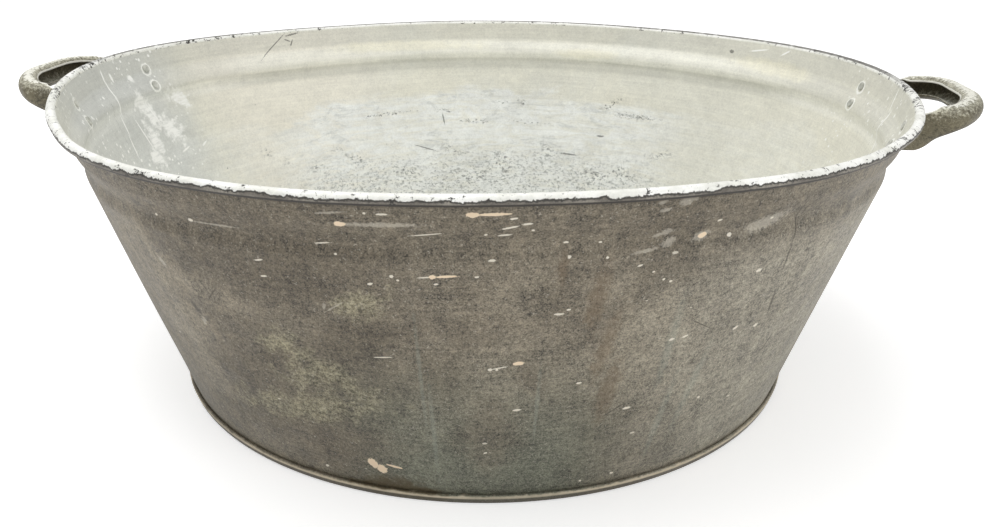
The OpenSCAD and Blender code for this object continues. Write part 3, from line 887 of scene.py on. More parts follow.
class Finish:
    """A material under way: where its points lie, the mottled zinc and its colour so far."""

    def __init__(self, name):
        material = bpy.data.materials.new(name)
        material.use_nodes = True
        self.tree = material.node_tree
        self.place = self.effect("Tub Place")
        self.wall = self.place["Front Wall"]
        self.point = self.place["Point"]
        self.mottle = self.effect("Zinc Mottle", Point=self.point)
        self.tint = None

    def effect(self, name, **inputs):
        return node(self.tree, "ShaderNodeGroup", inputs, node_tree=effect_group(name))

    def start(self, layer, low, high, first, second):
        """The ground colour, between two by one of the zinc's noises."""
        self.tint = blend(self.mottle[layer].span(low, high), first, second)

    def lay(self, share, tint):
        """Lays a colour over the one so far, by a share from 0 to 1."""
        self.tint = blend(share, self.tint, tint)

    def mottle_by(self, **amounts):
        self.tint = mottled(self.tint, self.mottle, **amounts)

    def row(self, marks, ragged, soft, fineness):
        """The mask of a row of marks, whose edges wander, fade and have a noise of this scale."""
        at = self.wall
        for degrees, up, half, tall, turn in marks:
            at = self.effect("Wall Mark", Wall=at, Centre=(metres_round(degrees), up * MM, 0.0),
                             Turn=(0.0, 0.0, math.radians(turn)),
                             Halves=(half * MM, tall * MM, FAR_AWAY ** 2))["Wall"]
        nearest = at.parts()[2]
        edge = self.point.noise(fineness, 4.0, 0.62)
        nearest = edge.math("MULTIPLY_ADD", ragged * 5, nearest - ragged * 2.5)
        return nearest.span(1.0 - soft, 1.0 + soft, 1.0, 0.0)

    def lay_row(self, marks, tint, strength, *look):
        """Lays a row of marks in one colour, and returns its mask."""
        mask = self.row(marks, *look)
        self.lay(mask * strength, tint)
        return mask

    def complete(self, roughness, metallic, relief=None, strength=0.0, depth=0.0):
        """Links the colour, the roughness and the relief, and sets how metallic it is."""
        shader = self.tree.nodes["Principled BSDF"]
        links = {"Base Color": self.tint, "Roughness": roughness}
        if relief is not None:
            links["Normal"] = node(self.tree, "ShaderNodeBump", {
                "Height": relief, "Strength": strength, "Distance": depth})["Normal"]
        for key, value in links.items():
            self.tree.links.new(value.socket, shader.inputs[key])
        shader.inputs["Metallic"].default_value = metallic


# Marks outside: degrees round from the front, millimetres up, half length, half height, turn in
# degrees. Where a row is laid, its strength, ragged edge, softness and fineness follow.
PAINT_DRIPS = (
    (4.6, 219.1, 3.2, 1.6, 0), (6.6, 219.4, 7.8, 0.9, 1), (0.5, 180.9, 1.8, 1.4, 0),
    (1.9, 181.2, 5.8, 0.8, 3), (-10.3, 28.5, 5, 3.4, -50), (-9.1, 24.4, 4, 3.8, -35),
    (-7.1, 28.1, 6.6, 0.9, -10), (-7.8, 212.2, 2.8, 1.5, 1), (9.6, 119.2, 3.4, 1.4, 4),
    (28.3, 197.6, 2.6, 1.5, 20),
)
PALE_STREAKS = (
    (8.4, 216.6, 2, 0.6, 7), (8.1, 211.2, 4.5, 0.6, 13), (9.7, 213.2, 2.6, 0.6, 5),
    (7.6, 206.1, 3.4, 0.6, 5), (5.8, 206.6, 0.8, 0.6, 0), (10.3, 209, 0.8, 0.6, 0),
    (13.7, 200.1, 1.6, 0.7, 2), (14.1, 191.7, 1, 0.9, 0), (17.2, 199.1, 0.9, 0.6, 0),
    (18, 190.2, 0.8, 0.7, 0), (29.6, 206.7, 1.4, 0.7, 5), (31.5, 195.8, 1.4, 1.2, 0),
    (36.5, 202.4, 1, 0.7, 0), (21.7, 183.2, 1.4, 0.7, 12), (23.4, 178, 0.8, 0.6, 0),
    (24.8, 172.1, 0.8, 0.7, 0), (25.7, 170.2, 0.9, 0.8, 0), (37.3, 166.8, 2, 1.1, 6),
    (37.5, 124, 2.2, 1.1, 24), (41.1, 120.9, 1.9, 1.1, 12), (28, 126.4, 1.9, 0.9, 6),
    (29.8, 126.8, 2.1, 0.8, 15), (13.7, 153.9, 3, 0.7, 0), (14.7, 156.8, 1.2, 0.7, 11),
    (6.3, 115, 1.4, 1, 3), (7.4, 116.2, 5.2, 0.4, 11), (17.2, 100.6, 1.6, 0.8, 7),
    (24.3, 74.7, 3, 1, 3), (9.7, 82.2, 2.7, 0.8, 4), (35.9, 69.1, 1.2, 1, 0),
    (-5.9, 122.5, 5.6, 0.4, 7), (7.1, 114.9, 1, 0.7, 0), (-3.7, 219, 3.1, 0.6, 1),
    (-5.3, 219.3, 0.7, 0.6, 0), (-8.9, 192.7, 0.8, 0.7, 0), (6.4, 191, 1.9, 0.7, 3),
    (-3.6, 180.6, 1.1, 0.9, 0), (-5.9, 174.9, 1.6, 0.8, 17), (-3, 178.1, 0.7, 0.6, 0),
    (4.9, 180.7, 1.2, 0.6, 6), (0.8, 176.1, 1.2, 0.6, 8), (-0.4, 180.4, 3.7, 0.4, 5),
    (-17.5, 183.5, 2.9, 0.6, 14), (-17.6, 172.5, 2.1, 0.6, 10), (-10.2, 198.4, 4.3, 0.4, 7),
    (0.1, 206.7, 8, 0.4, 7), (-25, 201.3, 1.6, 1, 12), (5.8, 46.2, 1.4, 0.7, 21),
    (24.7, 15.4, 1.5, 0.9, -15), (19.8, 13, 1, 0.8, 0), (-18.3, 16, 1.5, 1, 21),
    (-30.2, 199.1, 0.9, 0.8, 0),
)
FAINT_SMEARS = (
    (-3.9, 212.6, 17.8, 1.3, 1), (22.2, 192.3, 7.2, 0.9, 8), (24.5, 195.9, 4.2, 2.3, 23),
    (23.5, 201.4, 4.6, 1, 17), (24.1, 202.5, 2.6, 1.9, 16), (28.1, 197.2, 4.8, 2.2, 20),
    (25.2, 222, 4.5, 2.4, 16), (23.1, 217.4, 2.8, 1.1, 8), (22.6, 222.3, 2.4, 0.9, 16),
    (-8.6, 218.8, 7.1, 0.6, 7), (-21.9, 201.2, 14.4, 0.6, 2), (-33, 164.1, 3.6, 2.2, -60),
    (-30.2, 123.9, 3.1, 1.9, 63), (-11.5, 156.1, 2.2, 1, 75), (-10.4, 156.4, 6.6, 0.4, 35),
    (36, 200.5, 14, 4, 16),
)
LICHEN_STAINS = (
    (-7.2, 160.5, 13.4, 8.3, 29), (-19, 124.4, 14.5, 7.2, 27), (-13, 104.8, 24, 8.6, -38),
    (-19, 70, 48.9, 10.5, 10), (-16.4, 98.4, 19, 11.5, 5),
)
RUST_RUNS = (
    (17.7, 162.2, 20, 4.5, 86), (19.7, 125.1, 21, 5, 84), (21.1, 92, 21, 5.5, 84),
    (13.6, 185.1, 10, 2.4, 88), (17.5, 166, 3.6, 2.4, 90), (19.9, 130, 3, 2.6, 90),
    (18.6, 112, 2.8, 2.2, 90),
)
BASE_RUST = (
    (-7.2, 9, 24, 9, 0), (-3.6, 7, 17, 4.5, 0), (-12, 6, 16, 4, 0),
)
GREEN_RUNS = (
    (-0.9, 62, 34, 1.5, 90), (-1.8, 110.4, 40, 1.1, 90), (28, 122, 28, 3, 90),
    (33.5, 80, 30, 3, 84), (12.2, 86, 26, 1.2, 90), (30, 60, 30, 2.6, 86),
)
DARK_LINES = (
    (40.3, 204.8, 5.4, 0.5, -90), (40.6, 190.2, 9.8, 0.6, -83), (41.2, 171.2, 9.8, 0.7, -83),
    (42.2, 137.9, 8.7, 0.9, -82), (46, 98.5, 6.4, 0.9, -110), (22.6, 75, 9.3, 0.5, 34),
    (31.7, 133.7, 10.6, 0.4, -30), (-30.5, 132.9, 4.2, 2, -60), (-26.2, 150, 8.5, 0.5, 45),
)
DARK_STAINS = (
    (-1.8, 142.5, 7, 4, 58), (11.4, 104.1, 15, 6, -50), (-22, 175, 40, 16, -8),
    (-10, 188, 46, 15, 0), (-17, 42, 52, 17, 4), (6, 62, 20, 26, 0), (-31, 186, 12, 14, -60),
)

# Marks inside: degrees round from the back, then as above. Rivet rings have only their place.
SCRAPES = (
    (-80.8, 180, 17, 6, -66), (-82.4, 155, 15, 7, -80), (-83.9, 142.4, 9, 7.5, -43),
    (-72.5, 184, 10, 6, -40), (-81.4, 210, 3.6, 2.3, -57), (-83.1, 192, 3.6, 2.6, 45),
    (-77, 160, 14, 8, -50),
)
WHITE_LINES = (
    (-75.8, 139.7, 6.2, 0.8, 13), (-70.9, 139.4, 3.8, 0.8, 25), (-79.9, 177.5, 9.5, 1, -68),
    (-88.4, 219, 5.5, 1, -100), (-88.3, 208, 8.5, 0.9, -86), (-88.4, 194, 9, 0.9, -88),
    (-88.9, 178, 9.5, 0.8, -92), (-89.4, 160, 10, 0.8, -94), (-86.2, 216, 4, 1.4, -85),
    (90.4, 219, 9, 0.7, -78), (91.6, 204, 9, 0.9, -92), (91.9, 187, 9, 0.8, -84),
    (50.5, 222.5, 9, 0.7, 12), (56, 224, 5, 0.8, 35), (-84.6, 165, 14, 0.8, -76),
)
RIVET_RINGS = [(degrees, height) for degrees in (-77, -103, 77, 103)
               for height in (213.9, 199.4)]
DARK_SCRATCHES = (
    (-50.4, 217.3, 17.7, 0.5, 37), (-47.4, 221.6, 3.2, 0.6, -25), (-46.6, 218.6, 3.6, 0.7, 60),
    (-46.2, 226.9, 6.6, 0.8, 9), (45.2, 217.9, 2.2, 1.6, -5), (-15.6, 128, 6, 0.8, -80),
    (-20.2, 97.5, 13.4, 0.6, -17), (20.7, 115.4, 4.3, 0.9, 2), (13.7, 92.7, 10.8, 0.8, -2),
)
PIT_LINES = (
    (-15.1, 136.5, 9.5, 2, -1), (-8.1, 124.8, 17, 1.9, -4), (-2.5, 145.4, 8, 1.2, 2),
    (1.9, 145.6, 4.6, 2.6, -30), (4, 123.6, 19, 1.5, -3), (-29.3, 104.1, 5, 1.2, -8),
    (-29, 137, 26, 1.6, 2), (28, 140, 24, 3, 0), (22, 150, 12, 3, 30),
)
PIT_FIELDS = (
    (-46.3, 89.4, 22, 8.5, -36), (-24.4, 74, 27, 8.5, -28), (-6.5, 72, 52, 8.5, 9),
    (2.2, 87.2, 52, 9, 7), (25.7, 76, 36, 7.5, 0), (-55.1, 106.3, 24, 5, -34),
    (-37.4, 93.7, 32, 5.6, -24), (33.3, 101.3, 34, 4.5, 21), (-12, 92, 30, 5, -14),
)
# Cream tone and painted light along the groove's upper flank.
CREAM_LIT_FLANK_PATCHES = (
    (55, 209.3, 44.3, 6, -1), (15.1, 200.8, 28.9, 5, 1), (-24.1, 207.7, 77.7, 5, -1),
)


def outside_finish(finish, colours):
    """Weathered zinc outside: brown-grey clouds, stains, drips and fine brush lines, painted glints,
    painted shade under the rim, on the left and under the base seam, painted light toward the right.
    """
    up, front = finish.place["Up"], finish.place["Front"]
    point, mottle, lay = finish.point, finish.mottle, finish.lay
    finish.start("Clouds", 0.36, 0.62, colours.outside_dark_and_shade, colours.outside)
    sides = abs(front).sweep(130, 95)
    # Paler toward the right: a bleached tone and painted light, less of it under the rim.
    right = sides * (front + mottle["Patches"] * 0.08).sweep(24, 48)
    # Painted shade over the upper wall, below the rim.
    upper = up.span(0.16, 0.212)
    lay(right * (1.0 - upper * 0.45) * 0.7, colours.outside_bleached_and_lit)
    # Painted shade on the left side.
    left = sides * front.sweep(-30, -52)
    lay(upper.most(left) * 0.68, colours.outside_dark_and_shade)
    damp = up.span(0.15, 0.03) * abs(front - metres_round(5)).sweep(8, 24, 1.0, 0.15)
    lay(damp * 0.85, colours.outside_green)
    finish.lay_row(DARK_STAINS, colours.outside_dark_and_shade, 0.6, 0.5, 0.7, 45.0)
    lichen = finish.lay_row(LICHEN_STAINS, colours.lichen, 0.42, 0.75, 0.6, 110.0)
    lay(lichen * mottle["Grain"].span(0.38, 0.6) * 0.22, colours.lichen_pale)
    finish.mottle_by(Patches=0.85, Blotches=1.15, Runs=0.9, Brush=0.8, Grain=2.0, Fine=2.0)
    # Painted glints: fine bright points of caught light.
    lay(point.noise(520.0, 4.0, 0.75).span(0.59, 0.68) * 0.65, colours.outside_glint)
    lay(point.noise(240.0, 5.0, 0.75, 0.4).span(0.57, 0.66) * 0.6, colours.outside_grime)
    finish.lay_row(RUST_RUNS, shade(104, 84, 60), 0.42, 0.5, 0.7, 160.0)
    finish.lay_row(BASE_RUST, colours.rust, 0.8, 0.55, 0.6, 130.0)
    finish.lay_row(GREEN_RUNS, shade(150, 158, 146), 0.25, 0.4, 0.7, 220.0)
    finish.lay_row(DARK_LINES, colours.outside_grime, 0.65, 0.35, 0.4, 900.0)
    finish.lay_row(FAINT_SMEARS, colours.splash, 0.32, 0.5, 0.4, 500.0)
    finish.lay_row(PALE_STREAKS, colours.splash, 0.9, 0.25, 0.2, 1000.0)
    finish.lay_row(PAINT_DRIPS, colours.paint, 0.95, 0.22, 0.12, 600.0)
    splashes = finish.effect("Specks", Point=point.stretch(0.45, 0.45, 1.0), Scale=170.0,
                             Kept=0.045, Size=0.13)["Mask"]
    lay(splashes * 0.7, colours.splash)
    seam_top = (up + mottle["Blotches"] * 0.003).span(0.0085, 0.0072)
    seam_shade = up.span(0.0052, 0.0036)
    worn = (seam_top - seam_shade) * mottle["Patches"].span(0.34, 0.6, 0.6, 0.95)
    lay(worn.most(0.0), colours.seam_edge)
    # Grime and painted shade under the base seam's fold.
    lay(seam_shade * 0.7, colours.seam_grime_and_shade)
    # Painted shadow just under the rim.
    lay(up.span(0.2215, 0.2262) * 0.8, colours.rim_shadow)
    finish.complete(mottle["Blotches"].ramp(0.3, 0.7, 0.5, 0.68), 0.25,
                    mottle["Blotches"] + mottle["Grain"] * 0.5, 0.45, 0.0006)


def inside_finish(finish, colours):
    """Pale zinc inside: groove bands of painted light and shade, reversed at the ends, a painted
    shadow band under the rim, creamy left, chalky water marks with pits, white scrapes.
    """
    finish.wall = finish.place["Back Wall"]
    up, back = finish.place["Up"], finish.place["Back"]
    point, mottle, lay = finish.point, finish.mottle, finish.lay
    drift = back + mottle["Clouds"] * 0.10
    wall = up.span(0.006, 0.05)
    sides = wall * abs(back).sweep(135, 100)
    cream = drift.sweep(-62, -48) * drift.sweep(-8, -34) * wall
    finish.start("Clouds", 0.36, 0.64, colours.inside, colours.inside_green)
    lay(cream * 0.85, colours.inside_warm)
    lay(sides * drift.sweep(24, 52) * 0.6, colours.inside_green)
    lay(sides * drift.sweep(-56, -70) * 0.85, colours.inside_cool)
    # Painted light on the groove's upper flank and painted shade on its lower flank.
    lit_flank = up.span(0.1925, 0.1955) * up.span(0.2125, 0.2085)
    shaded_flank = up.span(0.1945, 0.1915) * up.span(0.1795, 0.1845)
    # Toward the ends the flanks' paint is reversed, painted shade above and painted light below,
    # against the lamps' own shading.
    behind = abs(back).sweep(66, 52)
    counter_shaded_end = 1.0 - behind
    lay(lit_flank * behind * 0.55, shade(236, 235, 224))
    lay(shaded_flank * behind * 0.5, shade(184, 184, 172))
    lay(lit_flank * counter_shaded_end * 0.22, shade(178, 178, 172))
    lay(shaded_flank * counter_shaded_end * 0.25, shade(246, 246, 240))
    # Painted shadow band just under the rim.
    lay(up.span(0.2105, 0.2145) * 0.35, shade(188, 187, 176))
    # Cream tone and painted light along the groove's upper flank.
    finish.lay_row(CREAM_LIT_FLANK_PATCHES, shade(234, 230, 208), 0.6, 0.3, 0.5, 60.0)
    water_line = up + point.noise((9.0, 9.0, 30.0), 5.0, 0.6, 0.8) * 0.09
    middle = abs(back - metres_round(-8)).sweep(52, 34, 0.25, 1.0)
    lime = water_line.span(0.202, 0.188) * middle.most(up.span(0.05, 0.006, 0.0, 0.75))
    swirl = point.noise((24.0, 24.0, 90.0), 5.0, 0.68, 1.4)
    lay(lime * swirl.span(0.34, 0.6, 0.35, 0.95), colours.lime)
    cloudy = point.noise((40.0, 40.0, 120.0), 5.0, 0.7, 0.9).span(0.52, 0.66)
    lay(lime * cloudy * 0.55, shade(196, 199, 196))
    finish.mottle_by(Patches=0.22, Blotches=0.28, Grain=0.36, Fine=0.3, Brush=0.26)
    speckle = point.noise((260.0, 260.0, 420.0), 5.0, 0.78, 0.4).span(0.515, 0.59)
    clumps = point.noise(45.0, 3.0, 0.6).span(0.42, 0.6, 0.15, 1.0)
    field = finish.row(PIT_FIELDS, 0.7, 0.7, 90.0)
    lay(field * clumps * speckle * 0.95, colours.lime_pit)
    lay(up.span(0.11, 0.06) * lime * speckle * 0.65, colours.lime_pit)
    line = finish.row(PIT_LINES, 0.8, 0.5, 300.0)
    lay(line * speckle * 0.95, colours.pits)
    spots = finish.effect("Specks", Point=point, Scale=78.0, Kept=0.05, Size=0.085)["Mask"]
    lay(spots * 0.6, colours.pits)
    brushed = node(finish.tree, "ShaderNodeMapping", {
        "Vector": finish.wall, "Rotation": (0.0, 0.0, math.radians(68)),
        "Scale": (60.0, 420.0, 1.0)}, vector_type="POINT")[0]
    zone = finish.row(SCRAPES, 0.75, 0.5, 150.0)
    streaks = brushed.noise(1.0, 4.0, 0.65).span(0.36, 0.54, 0.45, 1.0)
    lay(zone * streaks * 0.95, shade(252, 252, 248))
    finish.lay_row(DARK_SCRATCHES, colours.pits, 0.7, 0.4, 0.3, 800.0)
    lines = finish.lay_row(WHITE_LINES, shade(252, 252, 248), 0.9, 0.2, 0.3, 900.0)
    discs = [finish.row([(degrees, height, half, half, 0) for degrees, height in RIVET_RINGS],
                        0.12, 0.14, 500.0) for half in (5.6, 3.9)]
    rings = discs[0].math("SUBTRACT", discs[1], clamp=True)
    lay(rings * 0.9, shade(252, 252, 246))
    white = finish.effect("Specks", Point=point, Scale=210.0, Kept=0.7, Size=0.28)["Mask"]
    ends = sides * abs(back).sweep(66, 76)
    lay(white * ends * mottle["Patches"].span(0.44, 0.56) * 0.9, shade(250, 250, 246))
    finish.complete(mottle["Blotches"].ramp(0.3, 0.7, 0.45, 0.6), 0.1,
                    mottle["Blotches"] + rings.most(lines) * 0.8, 0.35, 0.0004)


def rim_finish(finish, colours):
    """The rolled rim: a chipped white coat on top with a ragged edge and a painted shadow line under
    it, grey metal at its side, painted shadow on its underside.
    """
    point, mottle, across = finish.point, finish.mottle, finish.place["Across"]
    turn = finish.effect("Rim Turn", Point=point)["Degrees"]
    bites = point.noise((115.0, 115.0, 60.0), 6.0, 0.8, 0.3)
    edge = turn + (bites - 0.5) * 125.0
    coat = edge.span(15.0, 19.0)
    # Painted shadow line just under the coat's ragged edge.
    coat_edge_shadow = edge.span(-6.0, 3.0) * edge.span(18.0, 14.0)
    side = mottled(blend(mottle["Patches"].span(0.4, 0.6), colours.rim_side, shade(108, 103, 95)),
                   mottle, Grain=1.2, Fine=0.8)
    side = blend(coat_edge_shadow * 0.92, side, colours.pits)
    # Painted shadow on the bead's underside.
    side = blend(turn.span(-20.0, -32.0, 0.0, 0.95), side, colours.rim_shadow)
    top = mottled(blend(mottle["Patches"].span(0.42, 0.6), colours.rim, shade(234, 234, 226)),
                  mottle, Grain=0.4)
    finish.tint = blend(coat, side, top)
    sparse = point.noise(24.0, 2.0).span(0.42, 0.58, 0.35, 1.0)
    ends = abs(across).span(0.24, 0.05, 0.35, 1.0)
    flakes = point.noise((190.0, 190.0, 240.0), 5.0, 0.8, 0.5) + sparse * ends * 0.095
    chips = flakes.span(0.615, 0.64)
    finish.lay(turn.span(154.0, 166.0), mottled(
        blend(mottle["Patches"], colours.inside, colours.inside_green), mottle,
        Grain=0.5, Blotches=0.3))
    finish.lay(chips, colours.pits)
    thicker = point.parts()[0].span(-0.05, 0.2, 0.0, 14.0)
    far_edge = (turn - thicker).span(132.0, 118.0) * across.span(-0.05, 0.08)
    finish.lay(far_edge * bites.span(0.34, 0.5, 0.5, 1.0) * 0.9, shade(92, 89, 84))
    finish.complete(coat.ramp(0.0, 1.0, 0.6, 0.5), 0.1,
                    coat - chips + mottle["Blotches"] * 0.4, 0.7, 0.0005)


def handle_finish(finish, colours):
    """Olive-grey handle zinc: a bright worn lip, painted light on top, speckled with grime, painted
    shade underneath.
    """
    mottle, lay = finish.mottle, finish.lay
    facing = node(finish.tree, "ShaderNodeNewGeometry")["Normal"].parts()[2]
    wobble = (mottle["Grain"] - 0.5) * 2.2
    high = facing + wobble
    # Painted light on upward faces.
    finish.tint = blend(high.span(0.25, 1.0, 0.0, 0.7), colours.handle, colours.handle_top_light)
    # Painted shade on downward faces.
    lay(high.span(-0.1, -0.9, 0.0, 0.6), colours.handle_grime_and_shade)
    finish.mottle_by(Patches=0.7, Blotches=1.0, Grain=1.6, Fine=1.3)
    lay(finish.point.noise(460.0, 4.0, 0.75).span(0.58, 0.68) * 0.5, colours.handle_grime_and_shade)
    lip = node(finish.tree, "ShaderNodeAttribute", attribute_name="lip")["Fac"]
    lip = (lip + (mottle["Blotches"] - 0.5) * 0.9).span(0.3, 0.6)
    crest = (facing + wobble * 0.35).span(0.86, 0.98)
    lay(lip.most(crest) * 0.85, shade(240, 239, 228))
    finish.complete(mottle["Blotches"].ramp(0.3, 0.7, 0.45, 0.65), 0.2,
                    mottle["Grain"] + mottle["Fine"] * 0.5, 0.6, 0.0005)


def rivet_finish(finish, colours):
    """Rivet domes outside: pale zinc with fine dark specks of grime."""
    finish.start("Grain", 0.4, 0.6, shade(132, 128, 112), shade(190, 187, 172))
    finish.lay(finish.point.noise(420.0, 4.0, 0.7).span(0.55, 0.7) * 0.6, colours.pits)
    grain = finish.mottle["Grain"]
    finish.complete(grain.ramp(0.3, 0.7, 0.35, 0.55), 0.3, grain, 0.3, 0.0002)


def tail_finish(finish, colours):
    """Hammered rivet tails inside: wall-coloured zinc, a little uneven."""
    finish.start("Blotches", 0.4, 0.6, shade(176, 177, 168), shade(206, 206, 198))
    finish.mottle_by(Grain=0.8)
    grain = finish.mottle["Grain"]
    finish.complete(grain.ramp(0.3, 0.7, 0.4, 0.6), 0.15, grain, 0.4, 0.0003)


def wire_finish(finish, colours):
    """Plain drawn steel wire inside the rim."""
    finish.start("Blotches", 0.3, 0.7, colours.wire, shade(150, 147, 140))
    finish.complete(finish.mottle["Grain"].ramp(0.3, 0.7, 0.35, 0.5), 0.8)


FINISHES = {"worn_outside": outside_finish, "worn_inside": inside_finish, "worn_rim": rim_finish,
            "worn_handle": handle_finish, "worn_rivet": rivet_finish, "worn_tail": tail_finish,
            "worn_wire": wire_finish}


def finished(*names):
    """The finishes by name, each made at its first use."""
    for name in names:
        if name not in bpy.data.materials:
            FINISHES[name](Finish(name), bpy.context.scene.tub_colours)
    return [bpy.data.materials[name] for name in names]


# Operators

class TUB_OT_body_sheets(bpy.types.Operator):
    """Adds the two body sheets with their rolled rim and lock seams"""
    bl_idname = "tub.body_sheets"
    bl_label = "Body Sheets"

    def execute(self, context):
        shape = TubShape(context.scene.tub_sizes)
        finishes = finished("worn_outside", "worn_inside", "worn_rim")
        for name, end, cad_node in (("front_sheet", 1, "body_front"),
                                    ("back_sheet", -1, "body_back")):
            piece = body_sheet(shape, name, end, finishes)
            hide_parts(cad_node)
        return {"FINISHED"}


class TUB_OT_bottom(bpy.types.Operator):
    """Adds the bottom sheet with its foot ring and folded hem"""
    bl_idname = "tub.bottom"
    bl_label = "Bottom"

    def execute(self, context):
        shape = TubShape(context.scene.tub_sizes)
        piece = bottom_panel(shape, finished("worn_inside", "worn_outside"))
        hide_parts("bottom_panel")
        return {"FINISHED"}


class TUB_OT_rim_wire(bpy.types.Operator):
    """Adds the steel wire inside the rolled rim"""
    bl_idname = "tub.rim_wire"
    bl_label = "Rim Wire"

    def execute(self, context):
        shape = TubShape(context.scene.tub_sizes)
        section = arc((shape.ring_r, shape.wire_z), shape.sizes.wire_d / 2, 0, 2 * math.pi, 20)
        piece = revolve(shape, "rim_ring", section[:-1], WALL_COLUMNS, finished("worn_wire"),
                        [0] * (len(section) - 1))
        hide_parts("rim_wire")
        return {"FINISHED"}


class TUB_OT_handles(bpy.types.Operator):
    """Adds the two curled handles with their flat feet"""
    bl_idname = "tub.handles"
    bl_label = "Handles"

    def execute(self, context):
        shape = TubShape(context.scene.tub_sizes)
        for name, end in (("handle_left", -1), ("handle_right", 1)):
            piece = handle_piece(shape, name + "_curled", end, finished("worn_handle"))
            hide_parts(name)
        return {"FINISHED"}


class TUB_OT_rivets(bpy.types.Operator):
    """Adds the eight rivets that hold the handles"""
    bl_idname = "tub.rivets"
    bl_label = "Rivets"

    def execute(self, context):
        shape = TubShape(context.scene.tub_sizes)
        for end_name, end in (("left", -1), ("right", 1)):
            for side_name, side in (("front", -1), ("back", 1)):
                for row in ("upper", "lower"):
                    cad_node = f"rivet_{end_name}_{side_name}_{row}"
                    piece = rivet_piece(shape, cad_node + "_head", end, side * end,
                                        row == "upper",
                                        finished("worn_rivet", "worn_tail"))
                    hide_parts(cad_node)
        return {"FINISHED"}


def aim(item, target):
    item.rotation_euler = (item.location - Vector(target)).to_track_quat("Z", "Y").to_euler()


def add_lamp(name, place, target, size, power):
    data = bpy.data.lights.new(name, "AREA")
    data.shape = "RECTANGLE"
    data.size, data.size_y = size
    data.energy = power
    lamp = bpy.data.objects.new(name, data)
    lamp.location = place
    aim(lamp, target)
    bpy.context.scene.collection.objects.link(lamp)
    return lamp


class TUB_OT_studio(bpy.types.Operator):
    """Adds the floor, the lamps, the pale surroundings and the camera"""
    bl_idname = "tub.studio"
    bl_label = "Studio"

    def execute(self, context):
        scene = context.scene
        stage = scene.tub_stage
        self.add_floor(scene.tub_colours.floor, stage.floor_glow)
        self.light_world(stage.sky)
        add_lamp("overhead", (-0.7, 0.1, 2.3), (0, 0, 0.1), (2.6, 2.2), stage.overhead)
        add_lamp("front_right", (2.0, -1.6, 1.3), (0, 0, 0.12), (1.4, 1.2), stage.front)
        self.add_camera(scene, stage)
        scene.view_settings.view_transform = "Standard"
        return {"FINISHED"}

    @staticmethod
    def add_floor(floor_colour, glow):
        half = 12.0
        mesh = bpy.data.meshes.new("floor")
        mesh.from_pydata([(-half, -half, 0), (half, -half, 0), (half, half, 0), (-half, half, 0)],
                         [], [(0, 1, 2, 3)])
        material = bpy.data.materials.new("floor_white")
        material.use_nodes = True
        tree = material.node_tree
        shader = tree.nodes["Principled BSDF"]
        shader.inputs["Base Color"].default_value = (*floor_colour, 1.0)
        shader.inputs["Roughness"].default_value = 0.9
        path = node(tree, "ShaderNodeLightPath")
        seen = path["Is Camera Ray"].most(path["Is Glossy Ray"].most(path["Is Transmission Ray"]))
        light = node(tree, "ShaderNodeEmission", {"Color": (1, 1, 1, 1), "Strength": seen * glow})
        total = node(tree, "ShaderNodeAddShader", {0: Value(tree, shader.outputs[0]), 1: light[0]})
        tree.links.new(total[0].socket, tree.nodes["Material Output"].inputs["Surface"])
        mesh.materials.append(material)
        floor = bpy.data.objects.new("floor", mesh)
        bpy.context.scene.collection.objects.link(floor)

    @staticmethod
    def light_world(strength):
        world = bpy.data.worlds.new("studio")
        world.use_nodes = True
        tree = world.node_tree
        seen = node(tree, "ShaderNodeLightPath")["Is Camera Ray"]
        background = tree.nodes["Background"].inputs
        background["Color"].default_value = (1, 1, 1, 1)
        tree.links.new(seen.ramp(0.0, 1.0, strength, 1.0).socket, background["Strength"])
        bpy.context.scene.world = world

    @staticmethod
    def add_camera(scene, stage):
        back = Vector((math.sin(stage.azimuth) * math.cos(stage.elevation),
                       -math.cos(stage.azimuth) * math.cos(stage.elevation),
                       math.sin(stage.elevation)))
        data = bpy.data.cameras.new("camera")
        data.lens = stage.lens
        data.sensor_width = 36.0
        camera = bpy.data.objects.new("camera", data)
        camera.location = Vector(stage.target) + back * stage.distance
        turn = back.to_track_quat("Z", "Y").to_matrix()
        roll = stage.roll
        across, upward = turn.col[0].copy(), turn.col[1].copy()
        turn.col[0] = across * math.cos(roll) + upward * math.sin(roll)
        turn.col[1] = upward * math.cos(roll) - across * math.sin(roll)
        camera.rotation_euler = turn.to_euler()
        scene.collection.objects.link(camera)
        scene.camera = camera


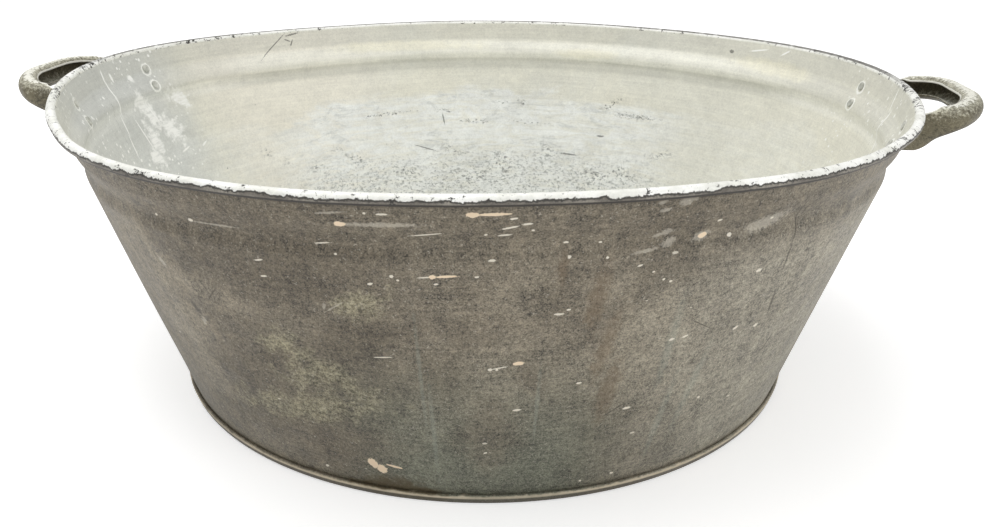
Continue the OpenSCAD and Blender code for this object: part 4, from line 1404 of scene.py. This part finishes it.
class TubStage(bpy.types.PropertyGroup):
    """Light and camera"""
    sky: FloatProperty(name="Sky", description="Strength of the surroundings", default=0.62)
    floor_glow: FloatProperty(name="Floor glow", description="White that the camera sees on it",
                              default=0.42)
    overhead: FloatProperty(name="Overhead lamp", description="Power", default=34.0, unit="POWER")
    front: FloatProperty(name="Front lamp", description="Power", default=14.0, unit="POWER")
    azimuth: angle("Azimuth", "Of the camera, from the front", 4.895)
    elevation: angle("Elevation", "Of the camera", 22.122)
    roll: angle("Roll", "Of the camera", 0.482)
    distance: length("Distance", "From the camera to its target", 800.63)
    target: FloatVectorProperty(name="Target", description="The point that the camera faces",
                                default=(12.93 * MM, -8.1 * MM, 69.33 * MM), subtype="TRANSLATION")
    lens: FloatProperty(name="Lens", description="Focal length in millimetres", default=33.218)


class TUB_PT_panel(bpy.types.Panel):
    """The tub's builders in the sidebar"""
    bl_idname = "TUB_PT_panel"
    bl_label = "Wash Tub"
    bl_space_type = "VIEW_3D"
    bl_region_type = "UI"
    bl_category = "Wash Tub"

    def draw(self, context):
        for operator in BUILDERS:
            self.layout.operator(operator.bl_idname)


BUILDERS = (TUB_OT_body_sheets, TUB_OT_bottom, TUB_OT_rim_wire, TUB_OT_handles, TUB_OT_rivets,
            TUB_OT_studio)
CLASSES = (TubSizes, TubColours, TubStage, *BUILDERS, TUB_PT_panel)


def register():
    for item in CLASSES:
        bpy.utils.register_class(item)
    bpy.types.Scene.tub_sizes = PointerProperty(type=TubSizes)
    bpy.types.Scene.tub_colours = PointerProperty(type=TubColours)
    bpy.types.Scene.tub_stage = PointerProperty(type=TubStage)


def unregister():
    for name in ("tub_sizes", "tub_colours", "tub_stage"):
        delattr(bpy.types.Scene, name)
    for item in reversed(CLASSES):
        bpy.utils.unregister_class(item)


def main():
    register()
    bpy.ops.tub.body_sheets()
    bpy.ops.tub.bottom()
    bpy.ops.tub.rim_wire()
    bpy.ops.tub.handles()
    bpy.ops.tub.rivets()
    bpy.ops.tub.studio()


if __name__ == "__main__":
    main()
